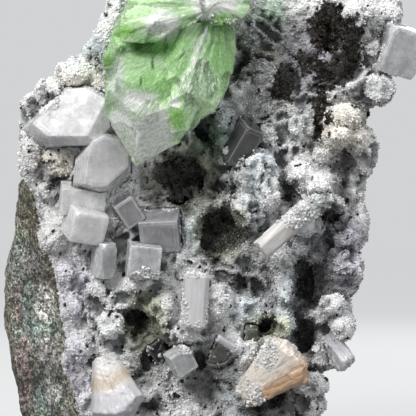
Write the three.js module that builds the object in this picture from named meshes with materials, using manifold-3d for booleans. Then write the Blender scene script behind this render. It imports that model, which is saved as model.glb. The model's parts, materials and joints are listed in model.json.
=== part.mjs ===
// Apophyllite cluster: a green apophyllite sheaf and colourless apophyllite and stilbite crystals
// on a sugary quartz druse that coats one side of a lump of basalt.
// Millimetres, +Z up. X runs to the right and the crystal side faces -Y. The specimen stands on a flat cut.
import * as THREE from "three";
import { ConvexGeometry } from "three/addons/geometries/ConvexGeometry.js";
import { mergeVertices } from "three/addons/utils/BufferGeometryUtils.js";
import Module from "manifold-3d";

const wasm = await Module();
wasm.setup();

// ---------- driving dimensions ----------
const bed = 0; // y of the plane where druse meets basalt
const seam = 0.3; // running gap left between neighbouring solids
const slabMiddle = 13; // how far the druse stands in front of the bed, away from its rim
const slabRim = 5; // and at its rim
const rimWidth = 13; // over which it thickens from rim to middle
const slabCell = 10; // spacing of the points in the druse slab's relief
const slabRelief = 2.2; // height of that relief
const slabWave = 9; // and its width
const grainSwell = 1.1; // makes up for the flat faces of a coarse head
const grainRough = 0.1; // how much the corners of a head or a vug wander
const headRoot = 0.36; // share of a head's stand that its half depth is
const roundVug = 6; // a vug wider or taller than this has more faces
const vugReach = 20; // half depth of the body that hollows a vug
const bladeBevel = 0.18; // share of a blade's thickness that its long edges lose
const headroom = 200; // larger than the specimen in every direction
const originStep = 0.5; // the origin is placed to this fraction of a millimetre

// ---------- small tools ----------
const degrees = Math.PI / 180;

function randomFrom(seed) {
  let state = seed >>> 0;
  return () => {
    state = (state + 0x6d2b79f5) >>> 0;
    let t = Math.imul(state ^ (state >>> 15), 1 | state);
    t = (t + Math.imul(t ^ (t >>> 7), 61 | t)) ^ t;
    return ((t ^ (t >>> 14)) >>> 0) / 4294967296;
  };
}

const hashPrimes = [73856093, 19349663, 83492791, 2654435];
function latticeValue(...cellAndSeed) {
  const mixed = cellAndSeed.reduce((hash, value, n) => hash ^ Math.imul(value, hashPrimes[n]), 0);
  return randomFrom(mixed)() * 2 - 1;
}

// Smooth noise from -1 to 1 at a point, one lattice cell wide.
function noiseAt(point, cell, seed) {
  const at = point.clone().divideScalar(cell);
  const corner = at.clone().floor();
  const f = at.sub(corner);
  const ease = (t) => t * t * (3 - 2 * t);
  let sum = 0;
  for (let n = 0; n < 8; n++) {
    const step = [n & 1, (n >> 1) & 1, n >> 2];
    const weight =
      (step[0] ? ease(f.x) : 1 - ease(f.x)) *
      (step[1] ? ease(f.y) : 1 - ease(f.y)) *
      (step[2] ? ease(f.z) : 1 - ease(f.z));
    sum += weight * latticeValue(corner.x + step[0], corner.y + step[1], corner.z + step[2], seed);
  }
  return sum;
}

function merged(geometry) {
  geometry.deleteAttribute("normal");
  geometry.deleteAttribute("uv");
  return mergeVertices(geometry, 1e-4);
}

function solidOf(geometry) {
  const closed = merged(geometry);
  return new wasm.Manifold(
    new wasm.Mesh({
      numProp: 3,
      vertProperties: closed.attributes.position.array,
      triVerts: new Uint32Array(closed.index.array),
    }),
  );
}

function geometryOf(solid) {
  const mesh = solid.getMesh();
  const geometry = new THREE.BufferGeometry();
  geometry.setAttribute("position", new THREE.BufferAttribute(mesh.vertProperties, 3));
  geometry.setIndex(new THREE.BufferAttribute(mesh.triVerts, 1));
  return geometry;
}

function joined(solids) {
  return solids.reduce((all, next) => all.add(next));
}

function largestBody(solid) {
  return solid.decompose().reduce((best, body) => (body.volume() > best.volume() ? body : best));
}

function boxSolid(low, high) {
  const size = new THREE.Vector3().subVectors(high, low);
  const box = new THREE.BoxGeometry(size.x, size.y, size.z);
  box.translate((low.x + high.x) / 2, (low.y + high.y) / 2, (low.z + high.z) / 2);
  return solidOf(box);
}

// ---------- flat-faced crystals ----------
// The solid inside a set of planes, each {normal, distance} from the origin.
function facetedGeometry(planes) {
  const corners = [];
  for (let a = 0; a < planes.length; a++)
    for (let b = a + 1; b < planes.length; b++)
      for (let c = b + 1; c < planes.length; c++) {
        const three = [planes[a], planes[b], planes[c]];
        const normals = new THREE.Matrix3().set(...three.flatMap((p) => p.normal.toArray()));
        if (Math.abs(normals.determinant()) < 1e-4) continue;
        const corner = new THREE.Vector3(...three.map((p) => p.distance)).applyMatrix3(normals.invert());
        if (planes.some((p) => p.normal.dot(corner) > p.distance + 1e-4)) continue;
        if (corners.some((known) => known.distanceTo(corner) < 0.05)) continue;
        corners.push(corner);
      }
  return new ConvexGeometry(corners);
}

function plane(x, y, z, distance) {
  return { normal: new THREE.Vector3(x, y, z).normalize(), distance };
}

function grown(planes, by) {
  return planes.map((p) => ({ normal: p.normal, distance: p.distance + by }));
}

// Tetragonal habit: a square prism with its corners cut by a four-faced pyramid at each end.
// width and depth are across the prism, length is along its axis, and point is the share of the length
// that the pyramids take.
function tetragonal({ width, depth = width, length, point = 0.3, steep = 1.3 }) {
  const planes = [
    plane(1, 0, 0, width / 2),
    plane(-1, 0, 0, width / 2),
    plane(0, 1, 0, depth / 2),
    plane(0, -1, 0, depth / 2),
    plane(0, 0, 1, length / 2),
    plane(0, 0, -1, length / 2),
  ];
  const shoulder = new THREE.Vector3(width / 2, depth / 2, (length / 2) * (1 - point));
  for (const sx of [1, -1])
    for (const sy of [1, -1])
      for (const sz of [1, -1]) {
        const normal = new THREE.Vector3(sx * steep, sy * steep, sz).normalize();
        const corner = shoulder.clone().multiply(new THREE.Vector3(sx, sy, sz));
        planes.push({ normal, distance: normal.dot(corner) });
      }
  return planes;
}

// A flat blade, as stilbite grows: narrow at its root, with a chisel tip and bevelled edges.
function blade({ width, thick, length, taper, tipAngle }) {
  const t = taper * degrees;
  const a = tipAngle * degrees;
  const shoulder = length / 2 - (width / 2) * Math.tan(a) * 0.6;
  const planes = [
    plane(0, 0, -1, length / 2),
    plane(0, 0, 1, length / 2 - 0.4),
    plane(0, 1, 0, thick / 2),
    plane(0, -1, 0, thick / 2),
  ];
  for (const s of [1, -1]) {
    const reach = (width / 2) * Math.cos(t) - (length / 2) * Math.sin(t);
    planes.push(plane(s * Math.cos(t), 0, -Math.sin(t), reach));
    const tip = plane(s * Math.sin(a), 0, Math.cos(a), 0);
    tip.distance = tip.normal.dot(new THREE.Vector3((s * width) / 2, 0, shoulder));
    planes.push(tip);
    for (const side of [1, -1]) {
      const edge = plane(s, side, 0, 0);
      const corner = new THREE.Vector3((s * width) / 2, (side * thick) / 2, 0);
      edge.distance = edge.normal.dot(corner) - thick * bladeBevel;
      planes.push(edge);
    }
  }
  return planes;
}

// Faces given as they are met from the front: bearing is the way a face looks in the XZ plane,
// 0 to the right and 90 up, and tilt is how far it is turned to -Y, 90 being flat to the front.
function facesFromFront(rows) {
  return rows.map(([bearing, tilt, distance]) =>
    plane(
      Math.cos(tilt * degrees) * Math.cos(bearing * degrees),
      -Math.sin(tilt * degrees),
      Math.cos(tilt * degrees) * Math.sin(bearing * degrees),
      distance,
    ),
  );
}

// Faces given by a point on each, x, z and how far it stands in front of the bed, and the way they look.
function facesThrough(rows) {
  return rows.map(([x, z, front, bearing, tilt]) => {
    const [face] = facesFromFront([[bearing, tilt, 0]]);
    face.distance = face.normal.dot(new THREE.Vector3(x, bed - front, z));
    return face;
  });
}

// Turns +Z of a crystal to the direction along and spins it by roll degrees about that direction.
function placed(geometry, at, along = [0, 0, 1], roll = 0) {
  const direction = new THREE.Vector3(...along).normalize();
  const turn = new THREE.Quaternion().setFromUnitVectors(new THREE.Vector3(0, 0, 1), direction);
  turn.multiply(new THREE.Quaternion().setFromAxisAngle(new THREE.Vector3(0, 0, 1), roll * degrees));
  geometry.applyQuaternion(turn);
  geometry.translate(...at);
  return geometry;
}

// One crystal as a solid, or the socket that it needs when grow is over 0.
function crystalSolid({ planes, at, along, roll }, grow = 0) {
  return solidOf(placed(facetedGeometry(grown(planes, grow)), at, along, roll));
}

function groupSolid(crystals, grow = 0) {
  return joined(crystals.map((c) => crystalSolid(c, grow)));
}

// ---------- the crystals ----------
// The green sheaf is a group of thick leaves grown together, each narrower towards the druse.
const greenLeaves = {
  // the pale point that overhangs the hollow below
  point: [
    [-15.5, 92, 33.6, -150, 52],
    [-15.5, 92, 33.6, -56, 56],
    [-15.5, 92, 33.6, 86, 66],
    [-20.3, 85.1, 27, -150, -26],
    [-12.2, 81.4, 27, -62, -30],
    [-3.8, 88.2, 25, -42, -24],
    [-23.7, 94, 20, 176, -10],
    [-21.5, 104, 20, 150, -4],
    [1, 100, 18, 0, 4],
    [-10, 111, 16, 90, 0],
    [-10, 100, 9, 0, -90],
  ],
  // the leaf above it, which covers its upper half
  middle: [
    [-13.5, 99.6, 33.4, -118, 64],
    [-13.5, 99.6, 33.4, 82, 70],
    [-13.5, 99.6, 33.4, -14, 68],
    [-22.2, 101, 26, 172, 0],
    [-20, 96.6, 27, -142, -12],
    [-13.5, 94.4, 30, -98, -14],
    [-7.4, 96.2, 28, -58, -10],
    [-2, 104, 24, -16, 0],
    [-10, 116, 18, 90, 0],
    [-10, 100, 9, 0, -90],
  ],
  // a short crystal that looks out between the point and the long leaf
  window: [
    [-5.4, 94.4, 32.6, -124, 62],
    [-5.4, 94.4, 32.6, -10, 60],
    [-5.4, 94.4, 32.6, 100, 66],
    [-8, 92, 26, 186, 0],
    [-5.6, 89.4, 27, -72, -24],
    [-2, 92, 26, -24, -8],
    [-5, 100, 24, 90, 0],
    [-5, 94, 9, 0, -90],
  ],
  // the long leaf on the right, with a ridge down its middle
  long: [
    [-1, 106, 32.4, 145, 66],
    [-1, 106, 32.4, -2, 60],
    [-2.6, 98.6, 33.4, -76, 52],
    [2.2, 93.8, 25, -52, -18],
    [5.4, 98.4, 24, -34, -16],
    [8, 105.4, 22, -12, -10],
    [8.9, 113, 19, 3, -4],
    [-4, 90.6, 27, -96, -16],
    [-8, 96, 20, 172, 0],
    [0, 121, 14, 90, 0],
    [-1, 100, 8, 0, -90],
  ],
  // a narrow one in the angle between the middle and the long leaf
  narrow: [
    [-6.4, 103, 32.8, 160, 60],
    [-6.4, 103, 32.8, -4, 68],
    [-6.4, 103, 32.8, -92, 58],
    [-9.4, 103, 24, 176, 0],
    [-7, 98.4, 26, -104, -10],
    [-2.6, 101, 24, -20, 0],
    [-5, 117, 18, 90, 0],
    [-5, 104, 9, 0, -90],
  ],
  // the block at the upper left, proud of the leaves
  block: [
    [-13.6, 116.4, 36.5, -112, 76],
    [-8, 117.4, 35.8, -56, 66],
    [-13.6, 116.4, 36.5, 80, 70],
    [-21, 112.9, 28, 178, 2],
    [-19.8, 120, 28, 164, 2],
    [-15, 112.1, 32, -91, -14],
    [-6, 114.8, 32, -62, -10],
    [0, 122, 20, 10, 0],
    [-8, 133, 18, 84, 4],
    [-16, 131, 16, 128, 4],
    [-10, 120, 8, 0, -90],
  ],
  // the leaf behind it, seen past its left edge
  behind: [
    [-22, 112, 22, -160, 60],
    [-22, 112, 22, 60, 80],
    [-26, 106, 16, -176, 0],
    [-25, 110.9, 16, 160, 0],
    [-22.4, 118, 16, 155, 0],
    [-20, 97, 16, -120, -10],
    [-12, 108, 16, 0, 0],
    [-16, 127, 14, 90, 0],
    [-20, 110, 6, 0, -90],
  ],
  // the stout one at the upper right
  crest: [
    [4.5, 122, 32.6, -86, 68],
    [4.5, 122, 32.6, 30, 74],
    [4.5, 122, 32.6, 140, 72],
    [-2.4, 120, 24, -160, -4],
    [1, 117.4, 28, -118, -8],
    [7, 117, 28, -78, -8],
    [11, 119, 24, -36, -8],
    [12.4, 124, 20, 2, -4],
    [10, 131.5, 16, 50, 0],
    [4, 134.5, 14, 90, 0],
    [-2.8, 128, 16, 176, 0],
    [4, 122, 8, 0, -90],
  ],
};

const greenSheaf = [
  ...Object.values(greenLeaves).map((rows) => ({ planes: facesThrough(rows), at: [0, 0, 0] })),
  {
    // the small square one at its left edge
    planes: tetragonal({ width: 3.2, depth: 5, length: 3.6, point: 0.1 }),
    at: [-24.6, -18, 107.6],
    along: [0.1, -0.2, 1],
    roll: 8,
  },
];

const clearPair = [
  {
    // the broad one: a large face turned up to the front over a narrow band
    planes: facesFromFront([
      [90, 60, 4.1],
      [-90, 40, 8.6],
      [10, 48, 8.2],
      [133, 10, 6.5],
      [-134, 15, 9.3],
      [-90, 0, 7.3],
      [-33, 4, 10.1],
      [4, 4, 10.5],
      [66, 20, 8.6],
      [93, 5, 8],
      [0, -90, 7],
    ]),
    at: [-34.7, -17, 92.3],
  },
  {
    planes: facesFromFront([
      [-20, 70, 6.3],
      [175, 35, 7.4],
      [174, 4, 7.3],
      [0, 2, 7.4],
      [39, 8, 8],
      [65, 8, 7.9],
      [117, 6, 6.8],
      [141, 8, 6.2],
      [-106, 10, 7.8],
      [-81, 14, 7.6],
      [-45, 12, 6.5],
      [0, -90, 7],
    ]),
    at: [-26.3, -17.5, 80.3],
  },
];

const clearCrystals = {
  clear_apophyllite_shelf: {
    planes: tetragonal({ width: 12, depth: 8, length: 7.4, point: 0.2 }),
    at: [-31.8, -14.5, 70.6],
    along: [0.12, -0.3, 1],
    roll: 8,
  },
  clear_apophyllite_terrace: {
    planes: tetragonal({ width: 9.6, depth: 9, length: 8.4, point: 0.25 }),
    at: [-31, -17.5, 64],
    along: [0.3, -0.3, 1],
    roll: 24,
  },
  clear_apophyllite_tilted: {
    planes: tetragonal({ width: 5.6, depth: 7, length: 7.2, point: 0.12 }),
    at: [-19.4, -16, 67.2],
    along: [-0.54, -0.2, 0.84],
    roll: 10,
  },
  clear_apophyllite_block: {
    planes: tetragonal({ width: 10.4, depth: 9, length: 9, point: 0.1 }),
    at: [-10.6, -14.5, 62.2],
    along: [-0.1, -0.45, 1],
    roll: -6,
  },
  clear_apophyllite_cube: {
    planes: tetragonal({ width: 8.6, depth: 8, length: 8.6, point: 0.08 }),
    at: [-15.2, -18.5, 54.2],
    along: [0.12, -0.15, 1],
    roll: 8,
  },
  clear_apophyllite_prism: {
    planes: tetragonal({ width: 4.6, depth: 6, length: 9.6, point: 0.35 }),
    at: [-26, -16.5, 54.4],
    along: [0.1, -0.2, 1],
    roll: 30,
  },
  clear_apophyllite_shaded: {
    planes: tetragonal({ width: 5.6, depth: 6.5, length: 11.6, point: 0.2 }),
    at: [11.4, -19, 85.4],
    along: [0.5, -0.3, 0.86],
    roll: 24,
  },
  clear_apophyllite_edge: {
    planes: tetragonal({ width: 10.5, depth: 9, length: 13, point: 0.3 }),
    at: [54.4, -8.5, 111.4],
    along: [0.34, -0.2, 1],
    roll: 18,
  },
  clear_apophyllite_low: {
    planes: tetragonal({ width: 6, depth: 6, length: 6.4, point: 0.15 }),
    at: [-5.2, -18.5, 27.2],
    along: [-0.4, -0.3, 0.8],
    roll: 20,
  },
  clear_apophyllite_dark: {
    planes: tetragonal({ width: 4.8, depth: 5, length: 6.4, point: 0.15 }),
    at: [-11.8, -10, 29.4],
    along: [-0.5, -0.4, 0.8],
    roll: 20,
  },
  clear_apophyllite_smoky: {
    planes: tetragonal({ width: 4.6, depth: 5, length: 6.4, point: 0.2 }),
    at: [5.2, -11.5, 29.4],
    along: [0.5, -0.5, 0.8],
    roll: 15,
  },
  clear_apophyllite_nook: {
    planes: tetragonal({ width: 3.2, depth: 5, length: 5.4, point: 0.3 }),
    at: [13.8, -12, 33.8],
    along: [0.1, -0.4, 1],
    roll: 5,
  },
};

const stilbitePeach = {
  planes: blade({ width: 5.6, thick: 4.4, length: 19, taper: 1, tipAngle: 8 }),
  at: [22.4, -24.5, 62.4],
  along: [-0.72, -0.3, -0.62],
  roll: 12,
};

const stilbiteBlades = {
  stilbite_white: {
    planes: blade({ width: 6.8, thick: 6, length: 14.6, taper: 2, tipAngle: 24 }),
    at: [-1.2, -20.5, 43.6],
    along: [0.06, -0.12, 1],
    roll: 8,
  },
  stilbite_corner: {
    planes: blade({ width: 8, thick: 4.4, length: 11, taper: 12, tipAngle: 34 }),
    at: [37.4, -13, 29],
    along: [0.55, -0.25, -0.8],
    roll: 20,
  },
  stilbite_splinter: {
    planes: blade({ width: 2.2, thick: 2.2, length: 8.4, taper: 1, tipAngle: 20 }),
    at: [7.6, -18.2, 31.6],
    along: [-0.82, -0.25, 0.5],
    roll: 0,
  },
};

// Bundles of blades that share a root.
function bundle({ root, tip, spread, count, width, thick, tipAngle, roll, lean = [0, 0, 1] }) {
  const from = new THREE.Vector3(...root);
  const to = new THREE.Vector3(...tip);
  const axis = new THREE.Vector3(...lean).normalize();
  const plates = [];
  for (let n = 0; n < count; n++) {
    const share = n / (count - 1) - 0.5;
    const arm = to.clone().sub(from).applyAxisAngle(axis, share * spread * degrees);
    const length = arm.length() * (1 - 0.16 * Math.abs(share));
    arm.normalize();
    plates.push({
      planes: blade({ width, thick, length, taper: 5, tipAngle }),
      at: from.clone().addScaledVector(arm, length / 2).toArray(),
      along: arm.toArray(),
      roll: roll + share * 14,
    });
  }
  return plates;
}

const stilbiteOrange = bundle({
  root: [12.5, -17, 17.5],
  tip: [26.5, -23, 30],
  spread: 24,
  count: 3,
  width: 9,
  thick: 5,
  tipAngle: 12,
  roll: -24,
  lean: [0.1, 1, -0.1],
});

const stilbiteCream = bundle({
  root: [-26, -13.5, 27],
  tip: [-20.5, -19, 11.5],
  spread: 34,
  count: 3,
  width: 8.4,
  thick: 5,
  tipAngle: 18,
  roll: 0,
  lean: [0, 1, 0.2],
});

// ---------- druse ----------
// The rim of the druse where it meets the air or breaks off against the basalt, x and z.
const druseOutline = [
  [-22.5, 130], [-24.5, 124.5], [-27.5, 117], [-30.5, 112.5], [-34.5, 108.5], [-38, 106.5],
  [-39.5, 104], [-41.5, 103], [-44.5, 100], [-46.5, 96.5], [-48, 92], [-48.5, 86.5], [-48.5, 79.5],
  [-47.5, 76], [-45, 71.5], [-44, 67], [-42.5, 59.5], [-39.5, 53], [-38, 43.5], [-37, 36.5], [-36, 31],
  [-37.5, 26], [-35, 19], [-31, 12], [-27.5, 0], [31.5, 0], [32, 12], [32.5, 16.5], [33, 19],
  [31.5, 21.5], [33, 24], [36.5, 25], [38, 25], [38.5, 32], [40.5, 34], [40, 36.5], [40.5, 40.5],
  [39.5, 44], [42.5, 45.5], [43, 50], [42.5, 55.5], [44, 59.5], [44.5, 66.5], [44, 68], [44.5, 74.5],
  [46.5, 81], [47, 84], [45, 88.5], [44, 92.5], [46, 95], [46.5, 97.5], [50.5, 98], [51.5, 100.5],
  [51.5, 103], [50.5, 104.5], [53, 108], [54, 118], [54.5, 121.5], [54.5, 124.5], [52.5, 132.5],
  [45.5, 140], [35, 145], [21.5, 147.5], [7, 149], [-5.5, 147], [-13, 143], [-19, 136.5],
];

// Heads of druse: x, z, how far the head stands in front of the bed, and its half sizes across and up.
const druseHeads = {
  upperLeft: [
    [-40, 99.5, 17, 4, 3], [-33, 104, 15, 4.5, 2.5], [-26, 101.5, 17, 4, 2.5], [-23, 121, 10, 2, 4],
    [-46.5, 94, 9, 2.5, 5.5], [-45.5, 82.5, 14, 2.5, 5.5], [-38.5, 81.5, 15, 5, 2.5],
    [-42, 73, 14, 3, 2.5], [-29.5, 110.5, 8, 3, 2.5],
  ],
  leftTerrace: [
    [-39.5, 60.5, 15, 4, 4.5], [-36, 50, 12, 3, 4.5], [-34, 41.5, 12, 3, 4], [-28, 46.5, 15, 3, 3],
    [-24, 35.5, 18, 3.5, 4.5], [-32.5, 30.5, 13, 4.5, 4],
  ],
  middle: [
    [-17, 47.5, 17, 5, 2.5], [-3.5, 62, 15, 2.5, 5.5], [-4, 54.5, 18, 3, 2], [-9.5, 41, 18, 3, 6],
    [-5.5, 34.5, 20, 5.5, 3], [5, 42.5, 20, 3.5, 4.5], [12.5, 29, 18, 4, 4.5],
    [15.5, 43.5, 14, 4.5, 2], [11, 50, 8, 5.5, 3],
  ],
  ridge: [
    [23, 53.5, 20, 3, 4], [23.5, 46, 22, 2.5, 5], [23, 37.5, 21, 2.5, 5],
  ],
  fingers: [
    [15, 78, 24, 5.5, 5.5], [13, 67, 22, 4.5, 6], [18, 72.5, 23, 3, 5.5], [6.5, 91.5, 17, 2.5, 4],
    [7, 83.5, 19, 3, 5], [11, 100.5, 16, 2.5, 3.5], [26, 90.5, 17, 2, 5], [19.5, 88, 16, 4, 3],
    [19.5, 121, 15, 5, 4], [18.5, 111, 13, 4, 2.5], [27, 108, 12, 4, 3.5], [13.5, 114.5, 14, 2.5, 4],
  ],
  upperRight: [
    [39, 92.5, 22, 4.5, 3.5], [37.5, 87.5, 23, 4, 2.5], [42.5, 86.5, 19, 2.5, 3],
    [48.5, 100.5, 14, 4, 3], [42.5, 101, 14, 3, 3], [43, 120.5, 18, 4.5, 4], [52, 121, 11, 3, 4],
    [47.5, 111, 12, 2.5, 5], [45.5, 83.5, 14, 2.5, 6], [33, 83, 15, 3, 3], [27, 76.5, 22, 4, 4],
    [32, 74.5, 23, 5, 2.5], [33, 69.5, 25, 6.5, 2.5], [28, 64.5, 21, 4, 3.5],
  ],
  right: [
    [40.5, 61.5, 14, 4, 5], [43.5, 63.5, 12, 2, 5.5], [38.5, 53.5, 15, 4.5, 4], [42, 51, 12, 2, 3.5],
    [30.5, 39, 18, 4, 2], [35.5, 42, 19, 4, 3], [38.5, 36, 18, 3, 4], [32.5, 29.5, 15, 4, 4.5],
  ],
  bottom: [
    [30.5, 20, 18, 4, 2.5], [30.5, 15, 16, 3, 3], [10.5, 19, 15, 3, 4], [-6.5, 18.5, 13, 3, 4.5],
    [19, 31, 19, 3.5, 2.5], [-14, 19, 12, 3, 2], [-31, 15, 12, 3, 2.5],
  ],
  foot: [
    [-22, 5, 14, 5, 5], [-12, 4.5, 15, 5, 4.5], [-1, 4.5, 15, 5, 5], [10, 4.5, 16, 5, 4.5],
    [20.5, 5, 15, 5, 5], [28, 7, 11, 3.5, 5],
  ],
  crown: [
    [14, 131, 16, 5.5, 5], [24, 130, 17, 5.5, 5], [35, 131, 15, 5.5, 5], [46, 129, 10, 4.5, 5],
    [39, 138.5, 11, 5.5, 4], [27, 140, 13, 5.5, 4.5], [15, 141, 12, 5.5, 4.5], [4, 143, 10, 5, 4],
    [-7, 141.5, 9, 5, 4], [-16, 135.5, 9, 4.5, 4.5],
  ],
};

// Vugs: x, z, how far the floor stands in front of the bed, and half sizes across and up.
const vugs = [
  [6, 63, 3, 7.5, 7], [-5, 70.5, 4, 5.5, 2.5], [-6, 77.5, 5, 7.5, 6], [1, 87.5, 5, 2.5, 5],
  [-17, 37.5, 3.5, 3.5, 6], [-13.5, 27, 5, 4.5, 5], [28.5, 47.5, 4, 3, 7], [28.5, 36, 5, 3, 4],
  [17.5, 36, 6, 2.5, 4], [19.5, 16, 4, 7.5, 3.5], [40, 77, 7, 2, 6], [24, 70.5, 6, 2.5, 2],
  [22.5, 88, 8, 1.5, 2.5], [-38, 74.5, 6, 2.5, 2.5], [35.5, 63, 9, 3.5, 3.5], [35.5, 113.5, 7, 5, 7.5],
  [23, 101.5, 7, 3.5, 4.5], [31.5, 92.5, 8, 2, 5], [10, 107.5, 6, 2, 3.5], [0, 26, 7, 2, 4],
  [-31, 24, 7, 2, 2.5], [-13.5, 14.5, 6, 3, 2],
];

function pebbleGeometry(at, half, detail, seed, roughness) {
  const pebble = merged(new THREE.IcosahedronGeometry(1, detail));
  const spots = pebble.attributes.position;
  const random = randomFrom(seed);
  const spin = new THREE.Quaternion().setFromEuler(new THREE.Euler(random() * 6, random() * 6, random() * 6));
  const spot = new THREE.Vector3();
  for (let n = 0; n < spots.count; n++) {
    spot.fromBufferAttribute(spots, n).applyQuaternion(spin);
    spot.multiplyScalar(1 + roughness * (random() * 2 - 1));
    spot.multiply(half);
    spot.add(at);
    spots.setXYZ(n, spot.x, spot.y, spot.z);
  }
  return pebble;
}

function druseHead([x, z, front, across, up], seed) {
  const deep = Math.max(across, up, headRoot * front + 1.5);
  const centre = new THREE.Vector3(x, bed - front + deep, z);
  const half = new THREE.Vector3(across, deep, up).multiplyScalar(grainSwell);
  return solidOf(pebbleGeometry(centre, half, 0, seed, grainRough));
}

function vugCutter([x, z, floor, across, up], seed) {
  const centre = new THREE.Vector3(x, bed - floor - vugReach, z);
  const half = new THREE.Vector3(across * grainSwell, vugReach, up * grainSwell);
  const detail = Math.max(across, up) > roundVug ? 1 : 0;
  return solidOf(pebbleGeometry(centre, half, detail, seed, grainRough));
}

function distanceToOutline(x, z) {
  const spot = new THREE.Vector3(x, 0, z);
  const side = new THREE.Line3();
  const closest = new THREE.Vector3();
  const distances = druseOutline.map(([ax, az], n) => {
    const [bx, bz] = druseOutline[(n + 1) % druseOutline.length];
    side.start.set(ax, 0, az);
    side.end.set(bx, 0, bz);
    return side.closestPointToPoint(spot, true, closest).distanceTo(spot);
  });
  return Math.min(...distances);
}

// An outline drawn in x and z, run through the whole depth of the specimen.
function outlineSolid(outline) {
  const shape = new THREE.Shape(outline.map(([x, z]) => new THREE.Vector2(x, z)));
  const through = new THREE.ExtrudeGeometry(shape, { depth: headroom, bevelEnabled: false, steps: 1 });
  through.rotateX(Math.PI / 2); // the outline's second axis becomes z
  through.translate(0, headroom / 2, 0);
  return solidOf(through);
}

// A slab with a wavy front over the whole rectangle, cut to the outline.
function druseSlab() {
  const low = new THREE.Vector3(-54, 0, -slabCell);
  const columns = 12;
  const rows = 18;
  const slab = merged(new THREE.BoxGeometry(1, 1, 1, columns, 1, rows));
  const spots = slab.attributes.position;
  const spot = new THREE.Vector3();
  for (let n = 0; n < spots.count; n++) {
    const inFront = spots.getY(n) < 0;
    spot.set((spots.getX(n) + 0.5) * columns, 0, (spots.getZ(n) + 0.5) * rows);
    spot.multiplyScalar(slabCell).add(low);
    const inward = Math.min(1, distanceToOutline(spot.x, spot.z) / rimWidth);
    const stand = slabRim + (slabMiddle - slabRim) * inward + slabRelief * noiseAt(spot, slabWave, 5);
    spots.setXYZ(n, spot.x, inFront ? bed - stand : bed, spot.z);
  }
  return solidOf(slab).intersect(outlineSolid(druseOutline));
}

// ---------- basalt ----------
const basaltHeart = new THREE.Vector3(-3, 13, 72);
const basaltReach = new THREE.Vector3(46, 24, 78); // spreads the mesh evenly over the lump
const basaltDetail = 6;
// Broken faces of the basalt: a point on the face and the way it looks.
const basaltBreaks = [
  [[-44.5, 0, 64], [-0.644, -0.752, -0.137]], // the flank that shows beside the druse
  [[-54, 14, 61], [-0.97, 0.12, 0.15]],
  [[-54.6, 14, 25], [-0.97, 0.12, -0.16]],
  [[-47, 10, 88], [-0.9, 0.34, 0.25]],
  [[-42, 12, 101.5], [-0.75, 0.35, 0.55]],
  [[8, 10, 147], [0.05, 0.4, 0.92]],
  [[42, 10, 139], [0.6, 0.4, 0.7]],
  [[52, 10, 122], [0.93, 0.36, 0.06]],
  [[45, 12, 88], [0.92, 0.34, -0.18]],
  [[40, 12, 45], [0.93, 0.36, -0.14]],
  [[32, 12, 12], [0.92, 0.4, -0.12]],
  [[0, 33, 60], [0.06, 0.99, 0.08]],
  [[-30, 30, 78], [-0.45, 0.86, 0.24]],
  [[28, 27, 66], [0.52, 0.84, 0.14]],
  [[0, 28, 118], [0.08, 0.84, 0.54]],
  [[-4, 33, 26], [-0.1, 0.96, -0.26]],
  [[0, 10, -8], [0, 0, -1]],
  [[0, -9, 60], [0, -1, 0]],
];
// The basalt follows the druse round the top and the right and stands clear of it on the left, x and z.
const basaltOutline = [
  [-23, 128], [-28, 117], [-34.5, 108], [-41.5, 102], [-45, 96], [-47, 88], [-47.5, 79], [-51.5, 75],
  [-54, 66], [-70, 58], [-70, -9], [31, -9], [32.5, 20], [37, 27], [37.5, 36], [40, 43], [41.5, 55],
  [42.5, 69], [44.5, 82], [45.5, 90], [47, 98], [50, 106], [53, 118], [53.5, 124], [51, 132],
  [44, 138.5], [33, 143.5], [20, 146], [6, 147], [-6, 144.5], [-13.5, 140.5], [-19, 135],
];
// Gas bubbles in the basalt: centre and radius.
const bubbles = [
  [[-14, 34, 88], 4.2], [[19, 32.5, 48], 3.6], [[-4, 35, 46], 2.8], [[-47, 8.5, 50], 1.8], [[-46.5, 11, 33], 2],
  [[4, 31, 112], 3],
];
const smallBubble = 3; // a bubble under this radius has fewer faces
const breakWobble = 1.3; // how far the broken faces wander from flat

function basaltSolid() {
  const lump = merged(new THREE.IcosahedronGeometry(1, basaltDetail));
  const spots = lump.attributes.position;
  const walls = basaltBreaks.map(([point, look]) => {
    const normal = new THREE.Vector3(...look).normalize();
    return { normal, distance: normal.dot(new THREE.Vector3(...point).sub(basaltHeart)) };
  });
  const way = new THREE.Vector3();
  for (let n = 0; n < spots.count; n++) {
    way.fromBufferAttribute(spots, n).multiply(basaltReach).normalize();
    let reach = Infinity;
    for (const wall of walls) {
      const facing = wall.normal.dot(way);
      if (facing > 1e-3) reach = Math.min(reach, wall.distance / facing);
    }
    const spot = way.clone().multiplyScalar(reach).add(basaltHeart);
    const rough = breakWobble * (noiseAt(spot, 14, 3) + 0.5 * noiseAt(spot, 6, 8));
    spot.addScaledVector(way, rough);
    spots.setXYZ(n, spot.x, spot.y, spot.z);
  }
  const block = boxSolid(
    new THREE.Vector3(-headroom, bed + seam / 2, 0),
    new THREE.Vector3(headroom, headroom, headroom),
  );
  let solid = solidOf(lump).intersect(block).intersect(outlineSolid(basaltOutline));
  bubbles.forEach(([at, radius], n) => {
    const half = new THREE.Vector3(radius, radius * 0.8, radius * 0.9);
    const detail = radius < smallBubble ? 0 : 1;
    solid = solid.subtract(solidOf(pebbleGeometry(new THREE.Vector3(...at), half, detail, n, grainRough)));
  });
  return largestBody(solid);
}

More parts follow.
